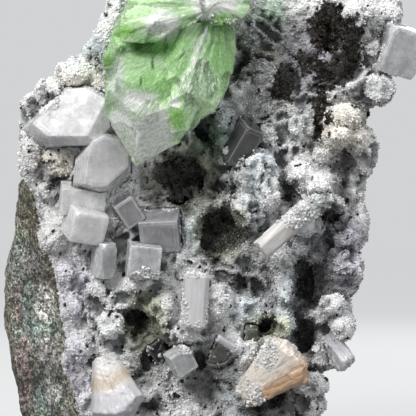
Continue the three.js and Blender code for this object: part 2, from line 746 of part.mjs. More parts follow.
function druseSolid(sockets) {
  let solid = druseSlab();
  vugs.forEach((row, n) => {
    solid = solid.subtract(vugCutter(row, 700 + n));
  });
  const heads = Object.values(druseHeads).flat();
  solid = solid.add(joined(heads.map((row, n) => druseHead(row, 40 + n))));
  const beforeBed = boxSolid(
    new THREE.Vector3(-headroom, -headroom, 0),
    new THREE.Vector3(headroom, bed - seam / 2, headroom),
  );
  solid = solid.intersect(beforeBed);
  for (const socket of sockets) solid = solid.subtract(socket);
  return largestBody(solid);
}

// ---------- materials ----------
function finish(color, roughness, opacity = 1) {
  return new THREE.MeshStandardMaterial({ color, roughness, metalness: 0, opacity, transparent: opacity < 1 });
}
const basaltFinish = finish(0x6b6a58, 0.9);
const druseFinish = finish(0xd6d8d8, 0.55);
const greenFinish = finish(0x7fb070, 0.15, 0.8);
const clearFinish = finish(0xdedee2, 0.12, 0.6);
const whiteStilbiteFinish = finish(0xe8e2dc, 0.3, 0.9);
const peachStilbiteFinish = finish(0xe8c7a6, 0.3, 0.95);

// ---------- the specimen ----------
const specimen = new THREE.Group();

function addNode(name, solid, material) {
  const mesh = new THREE.Mesh(geometryOf(solid), material);
  mesh.name = name;
  specimen.add(mesh);
}

// Every crystal that stands on its own, and every group grown together. Each gives way to those before it.
const growths = [
  ["green_apophyllite", greenSheaf, greenFinish],
  ["clear_apophyllite_pair", clearPair, clearFinish],
  ["stilbite_orange_bundle", stilbiteOrange, peachStilbiteFinish],
  ["stilbite_cream_bundle", stilbiteCream, whiteStilbiteFinish],
  ...Object.entries(clearCrystals).map(([name, crystal]) => [name, [crystal], clearFinish]),
  ["stilbite_peach", [stilbitePeach], peachStilbiteFinish],
  ...Object.entries(stilbiteBlades).map(([name, crystal]) => [name, [crystal], whiteStilbiteFinish]),
];
const sockets = growths.map(([, crystals]) => groupSolid(crystals, seam));

addNode("basalt_matrix", basaltSolid(), basaltFinish);
addNode("quartz_druse", druseSolid(sockets), druseFinish);
growths.forEach(([name, crystals, material], n) => {
  const solid = sockets.slice(0, n).reduce((left, socket) => left.subtract(socket), groupSolid(crystals));
  addNode(name, largestBody(solid), material);
});

// The origin is at the middle of the underside.
const bounds = new THREE.Box3().setFromObject(specimen);
const middle = bounds.getCenter(new THREE.Vector3());
const toStep = (value) => Math.round(value / originStep) * originStep;
specimen.position.set(-toStep(middle.x), -toStep(middle.y), 0);

export default specimen;
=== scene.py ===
# Apophyllite cluster: sugary quartz druse over basalt, with a green apophyllite sheaf,
# colourless apophyllites and stilbite blades. Everything stays where the frame has it, in metres.
import json
import math
from contextlib import contextmanager
from functools import partial

import bmesh
import bpy
import numpy as np
from mathutils import Euler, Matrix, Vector
from mathutils.noise import noise_vector, seed_set

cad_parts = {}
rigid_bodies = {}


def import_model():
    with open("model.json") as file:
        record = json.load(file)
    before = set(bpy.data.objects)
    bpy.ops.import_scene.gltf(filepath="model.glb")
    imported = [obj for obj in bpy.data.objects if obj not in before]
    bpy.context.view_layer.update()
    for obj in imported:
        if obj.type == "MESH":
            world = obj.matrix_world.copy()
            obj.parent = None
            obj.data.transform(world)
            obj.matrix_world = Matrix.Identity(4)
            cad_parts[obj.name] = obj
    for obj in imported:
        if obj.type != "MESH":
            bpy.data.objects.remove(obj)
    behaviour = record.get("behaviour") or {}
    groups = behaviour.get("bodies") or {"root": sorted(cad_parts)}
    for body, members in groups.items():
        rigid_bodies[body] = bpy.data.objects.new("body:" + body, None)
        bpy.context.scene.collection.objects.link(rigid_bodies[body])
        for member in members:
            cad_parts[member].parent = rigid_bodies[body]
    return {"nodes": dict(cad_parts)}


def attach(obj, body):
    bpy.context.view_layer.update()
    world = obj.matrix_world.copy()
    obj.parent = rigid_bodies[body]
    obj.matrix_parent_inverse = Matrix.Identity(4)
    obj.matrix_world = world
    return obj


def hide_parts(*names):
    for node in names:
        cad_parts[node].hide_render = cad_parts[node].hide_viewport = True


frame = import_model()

mm = 0.001
scene = bpy.context.scene
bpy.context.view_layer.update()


# ---- small tools for node trees
# What a node gives out. It can be reckoned with: each operation adds a math node to its tree.
class Value:
    def __init__(self, tree, socket):
        self.tree = tree
        self.socket = socket

    def __add__(self, other):
        return calc("ADD", self, other)

    def __sub__(self, other):
        return calc("SUBTRACT", self, other)

    def __rsub__(self, other):
        return calc("SUBTRACT", other, self)

    def __mul__(self, other):
        return calc("MULTIPLY", self, other)

    def __truediv__(self, other):
        return calc("DIVIDE", self, other)

    def __rtruediv__(self, other):
        return calc("DIVIDE", other, self)

    def __gt__(self, other):
        return calc("GREATER_THAN", self, other)

    def __lt__(self, other):
        return calc("LESS_THAN", self, other)


def isVector(term):
    return isinstance(term, tuple) or isinstance(term, Value) and term.socket.type in ("VECTOR", "RGBA")


def treeOf(*terms):
    return next(term.tree for term in terms if isinstance(term, Value))


def addNode(tree, kind, inputs=None, **settings):
    node = tree.nodes.new(kind)
    for key, value in settings.items():
        setattr(node, key, value)
    for key, value in (inputs or {}).items():
        if isinstance(value, Value):
            tree.links.new(value.socket, node.inputs[key])
        else:
            node.inputs[key].default_value = value
    return node


def added(tree, kind, inputs=None, output=0, **settings):
    return Value(tree, addNode(tree, kind, inputs, **settings).outputs[output])


def calc(operation, *terms, output=0):
    kind = "ShaderNodeVectorMath" if isVector(terms[0]) else "ShaderNodeMath"
    inputs = dict(enumerate(terms))
    if operation == "MULTIPLY" and isVector(terms[0]) and not isVector(terms[1]):
        operation, inputs = "SCALE", {0: terms[0], 3: terms[1]}
    return added(treeOf(*terms), kind, inputs, output, operation=operation)


def feed(node, name, value):
    value.tree.links.new(value.socket, node.inputs[name])


def ramp(value, low, high, toLow=0.0, toHigh=1.0):
    inputs = {0: value, 1: low, 2: high, 3: toLow, 4: toHigh}
    return added(value.tree, "ShaderNodeMapRange", inputs, interpolation_type="SMOOTHSTEP")


# Pattern nodes take a scale; sizes here are lengths.
def noise(vector, size, detail=3.0, roughness=0.5, output=0):
    inputs = {"Vector": vector, "Scale": 1 / size, "Detail": detail, "Roughness": roughness}
    return added(vector.tree, "ShaderNodeTexNoise", inputs, output)


def cells(vector, size, feature="F1", output="Distance"):
    inputs = {"Vector": vector, "Scale": 1 / size}
    return added(vector.tree, "ShaderNodeTexVoronoi", inputs, output, feature=feature)


def axes(vector):
    node = addNode(vector.tree, "ShaderNodeSeparateXYZ", {0: vector})
    return [Value(vector.tree, socket) for socket in node.outputs]


def combined(x, y, z):
    return added(treeOf(x, y, z), "ShaderNodeCombineXYZ", {0: x, 1: y, 2: z})


# Height of a round dome over the middle of a cell, from 1 to 0.
def dome(distance, reach):
    return calc("SQRT", calc("MAXIMUM", 1.0 - calc("POWER", distance / reach, 2.0), 0.0))


def randomShare(tree, seed):
    return added(tree, "FunctionNodeRandomValue", {2: 0.0, 3: 1.0, "Seed": seed}, 1, data_type="FLOAT")


def randomVector(tree, low, high, seed):
    inputs = {0: low, 1: high, "Seed": seed}
    return added(tree, "FunctionNodeRandomValue", inputs, data_type="FLOAT_VECTOR")


def attribute(tree, name):
    return added(tree, "GeometryNodeInputNamedAttribute", {"Name": name}, data_type="FLOAT")


def stored(geometry, **values):
    for name, value in values.items():
        inputs = {"Geometry": geometry, "Name": name, "Value": value}
        kind = "FLOAT_VECTOR" if isVector(value) else "FLOAT"
        geometry = added(geometry.tree, "GeometryNodeStoreNamedAttribute", inputs, data_type=kind)
    return geometry


def moved(geometry, offset):
    return added(geometry.tree, "GeometryNodeSetPosition", {"Geometry": geometry, "Offset": offset})


# The mesh of a piece that a tree is given, and the distance to it.
def nearTo(piece):
    mesh = added(piece.tree, "GeometryNodeObjectInfo", {0: piece}, "Geometry")
    return mesh, added(piece.tree, "GeometryNodeProximity", {0: mesh}, "Distance", target_element="FACES")


def rayHits(target, start, way, length):
    inputs = {"Target Geometry": target, "Source Position": start}
    inputs |= {"Ray Direction": way, "Ray Length": length}
    return added(target.tree, "GeometryNodeRaycast", inputs, "Is Hit")


socketKinds = {
    float: "Float", int: "Int", tuple: "Vector", Vector: "Vector",
    bpy.types.Object: "Object", bpy.types.Collection: "Collection",
}


# A geometry tree with an input for each value; returns it with its inputs, position and normal.
def newTree(name, values):
    tree = bpy.data.node_groups.new(name, "GeometryNodeTree")
    tree.interface.new_socket("Geometry", in_out="INPUT", socket_type="NodeSocketGeometry")
    for label, value in values.items():
        tree.interface.new_socket(label, in_out="INPUT", socket_type="NodeSocket" + socketKinds[type(value)])
    tree.interface.new_socket("Geometry", in_out="OUTPUT", socket_type="NodeSocketGeometry")
    given = {socket.name: Value(tree, socket) for socket in tree.nodes.new("NodeGroupInput").outputs}
    return tree, given, added(tree, "GeometryNodeInputPosition"), added(tree, "GeometryNodeInputNormal")


def endTree(geometry, material, smooth=True):
    tree = geometry.tree
    geometry = added(tree, "GeometryNodeRealizeInstances", {0: geometry})
    geometry = added(tree, "GeometryNodeSetShadeSmooth", {0: geometry, 2: smooth})
    geometry = added(tree, "GeometryNodeSetMaterial", {0: geometry, 2: material})
    feed(tree.nodes.new("NodeGroupOutput"), 0, geometry)


# Evaluates the source with the tree on it and returns the result as a plain piece.
def grow(name, source, tree, values):
    modifier = source.modifiers.new(tree.name, "NODES")
    modifier.node_group = tree
    for item in tree.interface.items_tree:
        if item.in_out == "INPUT" and item.name in values:
            modifier[item.identifier] = values[item.name]
    source.update_tag()
    mesh = meshOf(source)
    source.modifiers.remove(modifier)
    return newPiece(name, mesh)


# ---- small tools for meshes
def newPiece(name, mesh):
    mesh.name = name
    piece = bpy.data.objects.new(name, mesh)
    scene.collection.objects.link(piece)
    return piece


def dropped(piece):
    mesh = piece.data
    bpy.data.objects.remove(piece)
    bpy.data.meshes.remove(mesh)


@contextmanager
def edited(mesh):
    work = bmesh.new()
    work.from_mesh(mesh)
    yield work
    work.to_mesh(mesh)
    work.free()


# A merged copy of frame nodes, as one object to work on.
def copyOf(name, nodeNames):
    mesh = bpy.data.meshes.new(name)
    with edited(mesh) as work:
        for nodeName in nodeNames:
            work.from_mesh(frame["nodes"][nodeName].data)
        bmesh.ops.remove_doubles(work, verts=work.verts, dist=0.004 * mm)
        bmesh.ops.recalc_face_normals(work, faces=work.faces)
    return newPiece(name, mesh)


def meshOf(piece):
    evaluated = piece.evaluated_get(bpy.context.evaluated_depsgraph_get())
    return bpy.data.meshes.new_from_object(evaluated)


def remeshed(piece, size):
    modifier = piece.modifiers.new("remesh", "REMESH")
    modifier.mode = "VOXEL"
    modifier.voxel_size = size


# Turns a piece's modifiers into its mesh.
def applied(piece):
    before = piece.data
    piece.data = meshOf(piece)
    piece.modifiers.clear()
    bpy.data.meshes.remove(before)


def finished(piece, nodes):
    if nodes:
        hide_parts(*nodes)
    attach(piece, "root")
    print("made", piece.name, sum(len(p.vertices) - 2 for p in piece.data.polygons), "triangles")


def pointArray(mesh):
    spots = np.empty(len(mesh.vertices) * 3, np.float32)
    mesh.vertices.foreach_get("co", spots)
    return spots.reshape(-1, 3)


def floatArray(mesh, name):
    values = np.empty(len(mesh.vertices), np.float32)
    mesh.attributes[name].data.foreach_get("value", values)
    return values


def storeValues(mesh, name, values):
    mesh.attributes.new(name, "FLOAT", "POINT").data.foreach_set("value", values.astype(np.float32))


def storeColors(mesh, name, tint):
    colors = np.concatenate([np.clip(tint, 0, 1), np.ones((len(tint), 1))], 1).astype(np.float32)
    mesh.attributes.new(name, "FLOAT_COLOR", "POINT").data.foreach_set("color", colors.ravel())


# ---- zones: upright ellipses on the front, which colours and forms follow
straySeed = 4  # picks the noise that the zones' outlines wind by


def smooth(values):
    values = np.clip(values, 0, 1)
    return values * values * (3 - 2 * values)


# How far each spot lies inside an ellipse, from 0 to 1.
def zoneShare(spots, x, z, across, up, feather=0.5):
    out = np.hypot((spots[:, 0] - x * mm) / (across * mm), (spots[:, 2] - z * mm) / (up * mm))
    return smooth((1 + feather - out) / (2 * feather))


def zoneMask(spots, zones, feather=0.5):
    return np.max([zoneShare(spots, *zone[:4], feather) for zone in zones], axis=0)


def blended(tint, share, color):
    return tint * (1 - share[:, None]) + np.array(color) * share[:, None]


# One colour all over, then each zone's own.
def painted(spots, color, zoneColors, feather):
    tint = np.tile(np.array(color), (len(spots), 1))
    for zoneColor, zones in zoneColors.values():
        tint = blended(tint, zoneMask(spots, zones, feather), zoneColor)
    return tint


# Shifts spots by a smooth noise, so that zones get winding outlines.
def strayed(spots, size, reach):
    seed_set(straySeed)
    shifts = [noise_vector(Vector(spot) / size) for spot in spots.tolist()]
    return spots + np.array(shifts) * reach


# ---- materials
def newMaterial(name, color, roughness, **sockets):
    material = bpy.data.materials.new(name)
    material.use_nodes = True
    shader = material.node_tree.nodes["Principled BSDF"]
    shader.inputs["Base Color"].default_value = (*color, 1)
    shader.inputs["Roughness"].default_value = roughness
    for key, value in sockets.items():
        shader.inputs[key.replace("_", " ")].default_value = value
    return material, material.node_tree, shader


def shaderAttribute(tree, name, output="Fac"):
    return added(tree, "ShaderNodeAttribute", output=output, attribute_name=name)


def objectSpots(tree):
    return added(tree, "ShaderNodeTexCoord", output="Object")


def mixed(factor, first, second, blend="MIX"):
    inputs = {0: factor, 6: first, 7: second}
    tree = treeOf(factor, first, second)
    return added(tree, "ShaderNodeMix", inputs, 2, data_type="RGBA", blend_type=blend)


def tinted(tone, tint):
    return mixed(1.0, tone, tint, "MULTIPLY")


def bumped(shader, height, distance, strength=1.0):
    inputs = {"Height": height, "Distance": distance, "Strength": strength}
    feed(shader, "Normal", added(height.tree, "ShaderNodeBump", inputs))


def absorbing(tree, color, density):
    volume = added(tree, "ShaderNodeVolumeAbsorption", {0: (*color, 1), 1: density})
    feed(tree.nodes["Material Output"], "Volume", volume)


# Light sinks this far into the crystal before it comes out again.
def lightSinks(shader, weight, depth):
    shader.inputs["Subsurface Weight"].default_value = weight
    shader.inputs["Subsurface Radius"].default_value = (1.0, 1.0, 1.1)
    shader.inputs["Subsurface Scale"].default_value = depth


# ---- camera, floor and light
cameraSettings = {"distance": 0.562, "plane": -0.0155, "x": -0.0003, "z": 0.0682, "lens": 180, "sensor": 36}


def makeCamera():
    camera = bpy.data.objects.new("camera", bpy.data.cameras.new("camera"))
    camera.data.lens = cameraSettings["lens"]
    camera.data.sensor_width = cameraSettings["sensor"]
    camera.data.clip_start = 0.01
    away = cameraSettings["plane"] - cameraSettings["distance"]
    camera.location = (cameraSettings["x"], away, cameraSettings["z"])
    camera.rotation_euler = Euler((math.radians(90), 0, 0))
    scene.collection.objects.link(camera)
    scene.camera = camera


lights = {
    # name: place, size, watts, colour
    "keyBox": ((-0.34, -0.46, 0.46), 0.26, 3.9, (1, 0.99, 0.97)),
    "topBox": ((0.04, -0.16, 0.62), 0.26, 1.5, (0.97, 0.98, 1)),
    "fillBox": ((0.50, -0.44, 0.34), 0.26, 1.1, (0.96, 0.98, 1)),
    "backBox": ((0.2, 0.5, 0.4), 0.3, 2.0, (1, 1, 1)),
}
floorSettings = {"radius": 3.0, "color": (0.2, 0.2, 0.2), "glow": 0.74}
air = {"color": (0.8, 0.81, 0.82), "seen": 0.8, "light": 0.26}


def makeLight(name, place, size, watts, color):
    light = bpy.data.lights.new(name, "AREA")
    light.shape = "SQUARE"
    light.size = size
    light.energy = watts
    light.color = color
    lamp = bpy.data.objects.new(name, light)
    lamp.location = place
    lamp.rotation_euler = (Vector((0, 0, 0.075)) - Vector(place)).to_track_quat("-Z", "Y").to_euler()
    scene.collection.objects.link(lamp)


def makeFloor():
    mesh = bpy.data.meshes.new("floor")
    with edited(mesh) as work:
        bmesh.ops.create_circle(work, cap_ends=True, segments=96, radius=floorSettings["radius"])
    floor = newPiece("floor", mesh)
    sockets = {"Emission_Color": (*air["color"], 1), "Emission_Strength": floorSettings["glow"]}
    paint = newMaterial("floorPaint", floorSettings["color"], 0.9, Specular_IOR_Level=0, **sockets)[0]
    mesh.materials.append(paint)
    floor.visible_diffuse = False  # the floor shows and catches shadows but throws no light back up


def makeStage():
    makeCamera()
    for name, (place, size, watts, color) in lights.items():
        makeLight(name, place, size, watts, color)
    makeFloor()
    world = bpy.data.worlds.new("studio")
    world.use_nodes = True
    sky = world.node_tree.nodes["Background"]
    sky.inputs["Color"].default_value = (*air["color"], 1)
    seen = added(world.node_tree, "ShaderNodeLightPath", output="Is Camera Ray")
    strength = {0: seen, 3: air["light"], 4: air["seen"]}
    feed(sky, "Strength", added(world.node_tree, "ShaderNodeMapRange", strength))
    scene.world = world
    scene.view_settings.view_transform = "Standard"
    print("stage ready")


makeStage()

# ---- druse: the coat, reworked to lumps
crystalNodes = [n for n in frame["nodes"] if n not in ("basalt_matrix", "quartz_druse")]
druse = {
    "voxel": 0.63 * mm,
    "soften": 4,
    "lump": 4.6 * mm,
    "lumpHeight": 2.4 * mm,
    "nugget": 1.9 * mm,
    "nuggetHeight": 1.1 * mm,
    "wall": 6.5 * mm,  # in patches, thin walls stand round empty cells instead of lumps
    "wallHeight": 2.0 * mm,
    "patch": 15 * mm,
    "deeper": 4.5 * mm,  # how much is taken out of the darkest hollows
    "clearance": 1.5 * mm,  # the relief fades out this near a crystal
    "rayLength": 24 * mm,  # how far a hollow's walls shade it
    "rayTurns": (-66, -40, -14, 14, 40, 66),  # degrees
    "rayRises": (-26, 6, 36, 64),
    "back": 0.25 * mm,  # the coat is cut flat behind this
    "lapStart": -1.5 * mm,  # from here back it laps over the rock
    "lap": 3.0 * mm,
    "lapSize": 6 * mm,
}


def druseTree(material, values):
    tree, given, place, normal = newTree("druseForm", values)
    _, depth, height = axes(place)
    nearest = nearTo(given["crystals"])[1]
    free = ramp(nearest, 0.4 * mm, druse["clearance"])
    free = free * ramp(height, 0.2 * mm, 3 * mm) * ramp(depth, 0.2 * mm, -1.2 * mm)
    inputs = {"Value": place, "Iterations": druse["soften"]}
    soft = added(tree, "GeometryNodeBlurAttribute", inputs, data_type="FLOAT_VECTOR")
    eased = added(tree, "ShaderNodeMix", {0: free, 4: place, 5: soft}, 1, data_type="VECTOR")
    geometry = added(tree, "GeometryNodeSetPosition", {"Geometry": given["Geometry"], "Position": eased})

    bent = place + (noise(place, 6 * mm, output=1) - (0.5, 0.5, 0.5)) * (8 * mm)
    size = ramp(noise(place, 11 * mm, 1), 0.35, 0.65, 0.75, 1.3)
    lump = dome(cells(bent, given["lump"] * size), 0.95)
    nugget = dome(cells(bent, given["nugget"]), 0.9)
    wall = ramp(cells(bent, given["wall"], "DISTANCE_TO_EDGE"), 0.03, 0.15, 1.0, 0.0)
    flat = attribute(tree, "flat")
    walled = ramp(noise(place, druse["patch"], 2), 0.50, 0.58) * (1.0 - flat)
    big = (lump - 0.6) * druse["lumpHeight"]
    thin = (wall - 0.35) * druse["wallHeight"]
    form = added(tree, "ShaderNodeMix", {0: walled, 2: big, 3: thin})
    plain = walled * (1.0 - wall)
    knobs = (nugget - 0.6) * calc("MULTIPLY_ADD", plain, -0.75, 1.0)
    rise = calc("MULTIPLY_ADD", knobs, druse["nuggetHeight"], form)
    rise = rise * calc("MULTIPLY_ADD", flat, -0.6, 1.0)
    sunk = attribute(tree, "hollow") * ramp(depth, -4 * mm, -8 * mm)
    rise = calc("MULTIPLY_ADD", sunk, -druse["deeper"], rise)
    edge = added(tree, "ShaderNodeMix", {0: walled, 2: lump, 3: wall})
    crest = calc("MULTIPLY_ADD", edge, 0.6, nugget * 0.4)
    geometry = stored(geometry, crest=crest, plain=plain, grit=noise(place, 1.6 * mm, 2))
    geometry = stored(moved(geometry, normal * (rise * free)), free=nearest)

    # The share of rays from each spot that leave without meeting the coat is stored as open; further down it
    # darkens the colour of shut-in spots as painted shade.
    start = place + normal * (0.5 * mm)
    rays = [(turn, up) for turn in druse["rayTurns"] for up in druse["rayRises"]]
    blocked = 0.0
    for turn, up in rays:
        a, e = math.radians(turn), math.radians(up)
        way = (math.sin(a) * math.cos(e), -math.cos(a) * math.cos(e), math.sin(e))
        blocked = rayHits(geometry, start, way, druse["rayLength"]) + blocked
    endTree(stored(geometry, open=1.0 - blocked / float(len(rays))), material)
    return tree


# Where the coat is light, dark, tinted or even. Each zone is its middle and half size across and up, in mm;
# a tone runs from 0, black, to 1, white. The dark tones of the hollow zones are painted shade, laid over the
# depth the hollows are dug to.
druseTone = 0.585
paleZones = [
    (20, 108, 17, 15, 0.38), (12, 92, 9, 6, 0.42), (35, 60, 8, 12, 0.50), (10, 50, 10, 6, 0.46),
    # The zone at (-1, 88) lies under the overhanging green sheaf; its darker tone is painted shade.
    (18, 40, 8, 9, 0.52), (-20, 62, 9, 8, 0.54), (-1, 88, 3, 6, 0.40), (2, 22, 8, 9, 0.40),
    (14, 14, 8, 6, 0.42), (-15, 30, 6, 9, 0.38), (-29, 109, 5, 6, 0.46), (-36, 103.5, 4.5, 4, 0.80),
    (-48.5, 83, 2.5, 5, 0.76), (-44.5, 65, 2, 6, 0.76), (-41, 54, 2.5, 6, 0.74), (-33, 66, 6, 4, 0.70),
    (-26, 37.5, 3.5, 3.5, 0.76), (-35, 31, 4, 4, 0.70), (-20, 50, 5, 3, 0.66), (-5, 53, 4.5, 4, 0.68),
    (1, 42, 6, 4.5, 0.80), (-6, 37, 3.5, 6, 0.74), (8.5, 31, 3.2, 5, 0.78), (4, 36, 4, 3, 0.72),
    (12, 70, 4.5, 8, 0.70), (15, 79, 3, 5, 0.66), (5, 84, 4, 9, 0.52), (27, 76, 6, 4, 0.76),
    (24, 66, 6, 5, 0.72), (37, 89, 4.5, 6.5, 0.76), (41, 83, 2.5, 5, 0.62), (42, 121, 4, 6, 0.82),
    (47, 102, 3, 4, 0.66), (38, 101, 4, 3, 0.52), (8, 99, 2, 3.5, 0.56), (-17, 73, 3, 3, 0.62),
    (34, 38, 4.5, 8, 0.70), (36, 29, 4, 4, 0.68), (40, 60, 3, 8, 0.60), (22, 45, 3, 9, 0.55),
    (12, 42, 4, 2.5, 0.58), (-27, 16, 5, 4, 0.68), (-12, 19, 4, 3, 0.52), (-3, 13, 4, 3, 0.52),
    (27, 16, 3, 8, 0.64), (-4, 137, 12, 7, 0.47), (16, 141, 9, 5, 0.44), (30, 135, 6, 6, 0.50),
    (46, 114, 3, 6, 0.50),
]
hollowZones = [
    (-8, 76, 11, 11, 0.38), (5, 61, 9, 8, 0.38), (27, 48, 6, 10, 0.38), (0, 22, 8, 8, 0.40),
    (-8, 76, 6.5, 7, 0.12), (-3, 75, 5, 4, 0.18), (2.5, 74, 2.5, 2.2, 0.16), (-2, 89.5, 2.6, 3, 0.14),
    (3, 64, 4.5, 3.5, 0.13), (6.5, 59.5, 4, 3, 0.14), (0.5, 58, 3.5, 5, 0.20), (8.5, 47.5, 3, 3, 0.26),
    (13, 46, 3, 2, 0.30), (-19, 37.5, 3.2, 4.5, 0.14), (-15.5, 29.5, 4.5, 5, 0.22),
    (-17.5, 23.5, 2.5, 3, 0.24), (-15.5, 14.3, 4.5, 2, 0.18), (0, 25, 4.5, 4, 0.24),
    (-1, 19.5, 5, 4.5, 0.26), (-1, 35.5, 2.6, 1.6, 0.34), (15.3, 36, 2.8, 2.6, 0.20),
    (25.5, 34, 3, 4, 0.18), (27, 48, 3.5, 7.5, 0.20), (12, 13, 2.5, 3, 0.20), (17, 17, 3, 3, 0.24),
    (16, 12, 5, 3, 0.28), (22, 73, 1.8, 4, 0.26), (33, 66, 3.2, 2.2, 0.28), (36.5, 78, 2.2, 6, 0.30),
    (8.3, 106.5, 1.4, 5, 0.16), (13, 108, 2.3, 1.2, 0.20), (-40.5, 75, 2.8, 3, 0.22),
    (-30, 108, 2, 4, 0.38), (12.5, 85.5, 2, 1.8, 0.34), (7.5, 88, 2, 4, 0.36), (-26, 61.5, 3, 2, 0.38),
    (-13, 50, 1.8, 2.5, 0.34), (-16.5, 76.5, 4, 4.5, 0.30), (-13, 70, 3, 2, 0.28),
    (8, 133, 4, 2.5, 0.30), (-15, 131, 3, 4, 0.32), (24, 128, 4, 2.5, 0.32), (36, 131, 3, 3, 0.34),
    (-2, 142, 4, 2, 0.34),
]
hueZones = {
    "cream": ((1.06, 1.0, 0.91), [
        (-32, 103, 8, 4.5), (37, 90, 6.5, 7), (-40.5, 81, 6, 3.5), (16.5, 110, 5, 2.5),
    ]),
    "blueGrey": ((0.95, 1.0, 1.03), [
        (12, 41, 7, 4.5), (21, 42, 3.5, 10.5), (-5.5, 62.5, 3.5, 6), (4.5, 86, 4.5, 10),
        (7.5, 18, 4.5, 7), (-31, 109.5, 7, 6), (15, 81, 5, 4), (24, 60, 5, 4), (12, 70, 4, 8),
    ]),
    "violet": ((1.0, 0.98, 1.06), [
        (-37, 46.5, 5.5, 9.5), (-36.5, 24, 5, 12), (38, 55.5, 5.5, 13), (28, 108, 7, 9),
    ]),
    # green at (-1, 88), under the sheaf, is painted green light and shade thrown by the sheaf; at (17, 121)
    # it is the coat's own greener tint.
    "green": ((0.85, 1.03, 0.86), [(17, 121, 4.5, 4), (-1, 88, 5, 6)]),
    "olive": ((1.0, 1.03, 0.78), [(-7, 77, 9, 9), (-17, 36, 5, 9), (16, 36, 6, 4), (3, 62, 7, 7)]),
}
mineralZones = [
    (37.5, 111.5, 4.5, 7), (32, 117, 4, 6), (33, 105, 4, 4), (30, 94, 2, 6.5), (20.5, 102, 3.8, 4.2),
    (26.5, 108, 2.5, 3),
]
flatZones = [(-39.5, 48, 4.5, 9), (-37, 33, 4, 8), (-37, 21, 4, 8), (-46.5, 72, 3, 9)]
floorHue = (0.94, 0.99, 1.0)  # the smooth floors between thin walls


def winding(spots):
    return strayed(strayed(spots, 5 * mm, 2.6 * mm), 2 * mm, 1.1 * mm)


# Depth of the hollows and evenness of the rim, which the form is built from.
def markDruse(mesh):
    spots = winding(pointArray(mesh))
    depths = [zoneShare(spots, *zone[:4]) * (1 - 2 * zone[4]) for zone in hollowZones]
    storeValues(mesh, "hollow", np.max(depths, axis=0))
    storeValues(mesh, "flat", zoneMask(spots, flatZones))


def paintDruse(mesh):
    keys = ("open", "crest", "plain", "grit", "flat")
    openness, crest, plain, grit, flat = (floatArray(mesh, key) for key in keys)
    real = pointArray(mesh)
    spots = winding(real)
    patchy = (spots - real)[:, 1] / mm
    tone = np.full(len(spots), druseTone)
    for x, z, across, up, target in paleZones:
        tone += (target - tone) * zoneShare(spots, x, z, across, up)
    # The hollows are painted dark: painted shade.
    for x, z, across, up, target in hollowZones:
        tone += (0.09 + 0.85 * target + 0.03 * patchy - tone) * zoneShare(spots, x, z, across, up)
    # Painted shade and light: shut-in spots (little open) and the low ground between lumps and walls (low
    # crest) are darker, and the tops of lumps lighter. patchy and grit vary the tone at random, and the
    # smooth floors between walls are a little darker.
    local = 1 + 0.8 * (openness - 0.45) + 0.6 * (crest - 0.5) + 0.09 * patchy + 1.3 * (grit - 0.5)
    tone = np.clip(tone * np.clip(local, 0.3, 1.6), 0.03, 0.86) * (1 - 0.15 * plain)
    tint = np.repeat(1.3 * tone[:, None] ** 2.2, 3, axis=1)
    for hue, zones in hueZones.values():
        tint *= blended(np.ones_like(tint), zoneMask(spots, zones), hue)
    tint *= blended(np.ones_like(tint), plain, floorHue)
    speckle = flat * smooth((0.44 - grit) / 0.06)
    tint = blended(tint, 0.75 * speckle, (0.16, 0.15, 0.16))
    dark = smooth((zoneMask(spots, mineralZones) + 2.2 * (grit - 0.5) - 0.25) / 0.2)
    storeColors(mesh, "tint", blended(tint, dark, (0.012, 0.01, 0.008)))
    storeValues(mesh, "dark", dark)
    storeValues(mesh, "cover", np.clip(0.36 + 1.1 * crest - 0.6 * plain, 0.16, 1) * (1 - 0.9 * speckle))


# Returns the colour too, for its user to work on and feed in.
def druseMaterial(name, roughness, low, high):
    material, tree, shader = newMaterial(name, (0.6, 0.6, 0.62), roughness, IOR=1.54)
    mottle = ramp(noise(objectSpots(tree), 1.6 * mm, 4), 0.3, 0.7, low, high)
    return material, shader, tinted(shaderAttribute(tree, "tint", "Color"), mottle)


# Makes one flat face of the many that lie against the rock.
def flattenBack(mesh, beyond):
    with edited(mesh) as work:
        back = [f for f in work.faces if all(v.co.y > beyond for v in f.verts)]
        bmesh.ops.delete(work, geom=back, context="FACES")
        rim = [e for e in work.edges if e.is_boundary]
        bmesh.ops.triangle_fill(work, edges=rim, use_beauty=False, normal=(0, 1, 0))
        bmesh.ops.recalc_face_normals(work, faces=work.faces)
        print("flat back closed,", sum(not e.is_manifold for e in work.edges), "edges left open")


# Lets the coat lap over the edge of the rock by an uneven amount, so that no straight joint shows.
def lapOverRock(mesh):
    spots = pointArray(mesh)
    lap = np.abs(strayed(spots, druse["lapSize"], druse["lap"])[:, 1] - spots[:, 1])
    band = druse["back"] - druse["lapStart"]
    near = np.clip((spots[:, 1] - druse["lapStart"]) / band, 0.0, 1.0)
    spots[:, 1] += near * lap
    mesh.vertices.foreach_set("co", spots.ravel())
    mesh.update()


def makeDruseBed():
    material, shader, tone = druseMaterial("druseBed", 0.42, 0.8, 1.05)
    feed(shader, "Base Color", tone)
    lightSinks(shader, 0.4, 0.5 * mm)
    bumped(shader, cells(objectSpots(tone.tree), 0.7 * mm), -0.22 * mm)
    crystals = copyOf("crystalsForSpacing", crystalNodes)
    work = copyOf("druseWork", ["quartz_druse"])
    remeshed(work, druse["voxel"])
    applied(work)
    markDruse(work.data)
    values = {"crystals": crystals, "lump": druse["lump"], "nugget": druse["nugget"], "wall": druse["wall"]}
    bed = grow("druse_bed", work, druseTree(material, values), values)
    dropped(work)
    dropped(crystals)
    flattenBack(bed.data, druse["back"])
    lapOverRock(bed.data)
    paintDruse(bed.data)
    return bed


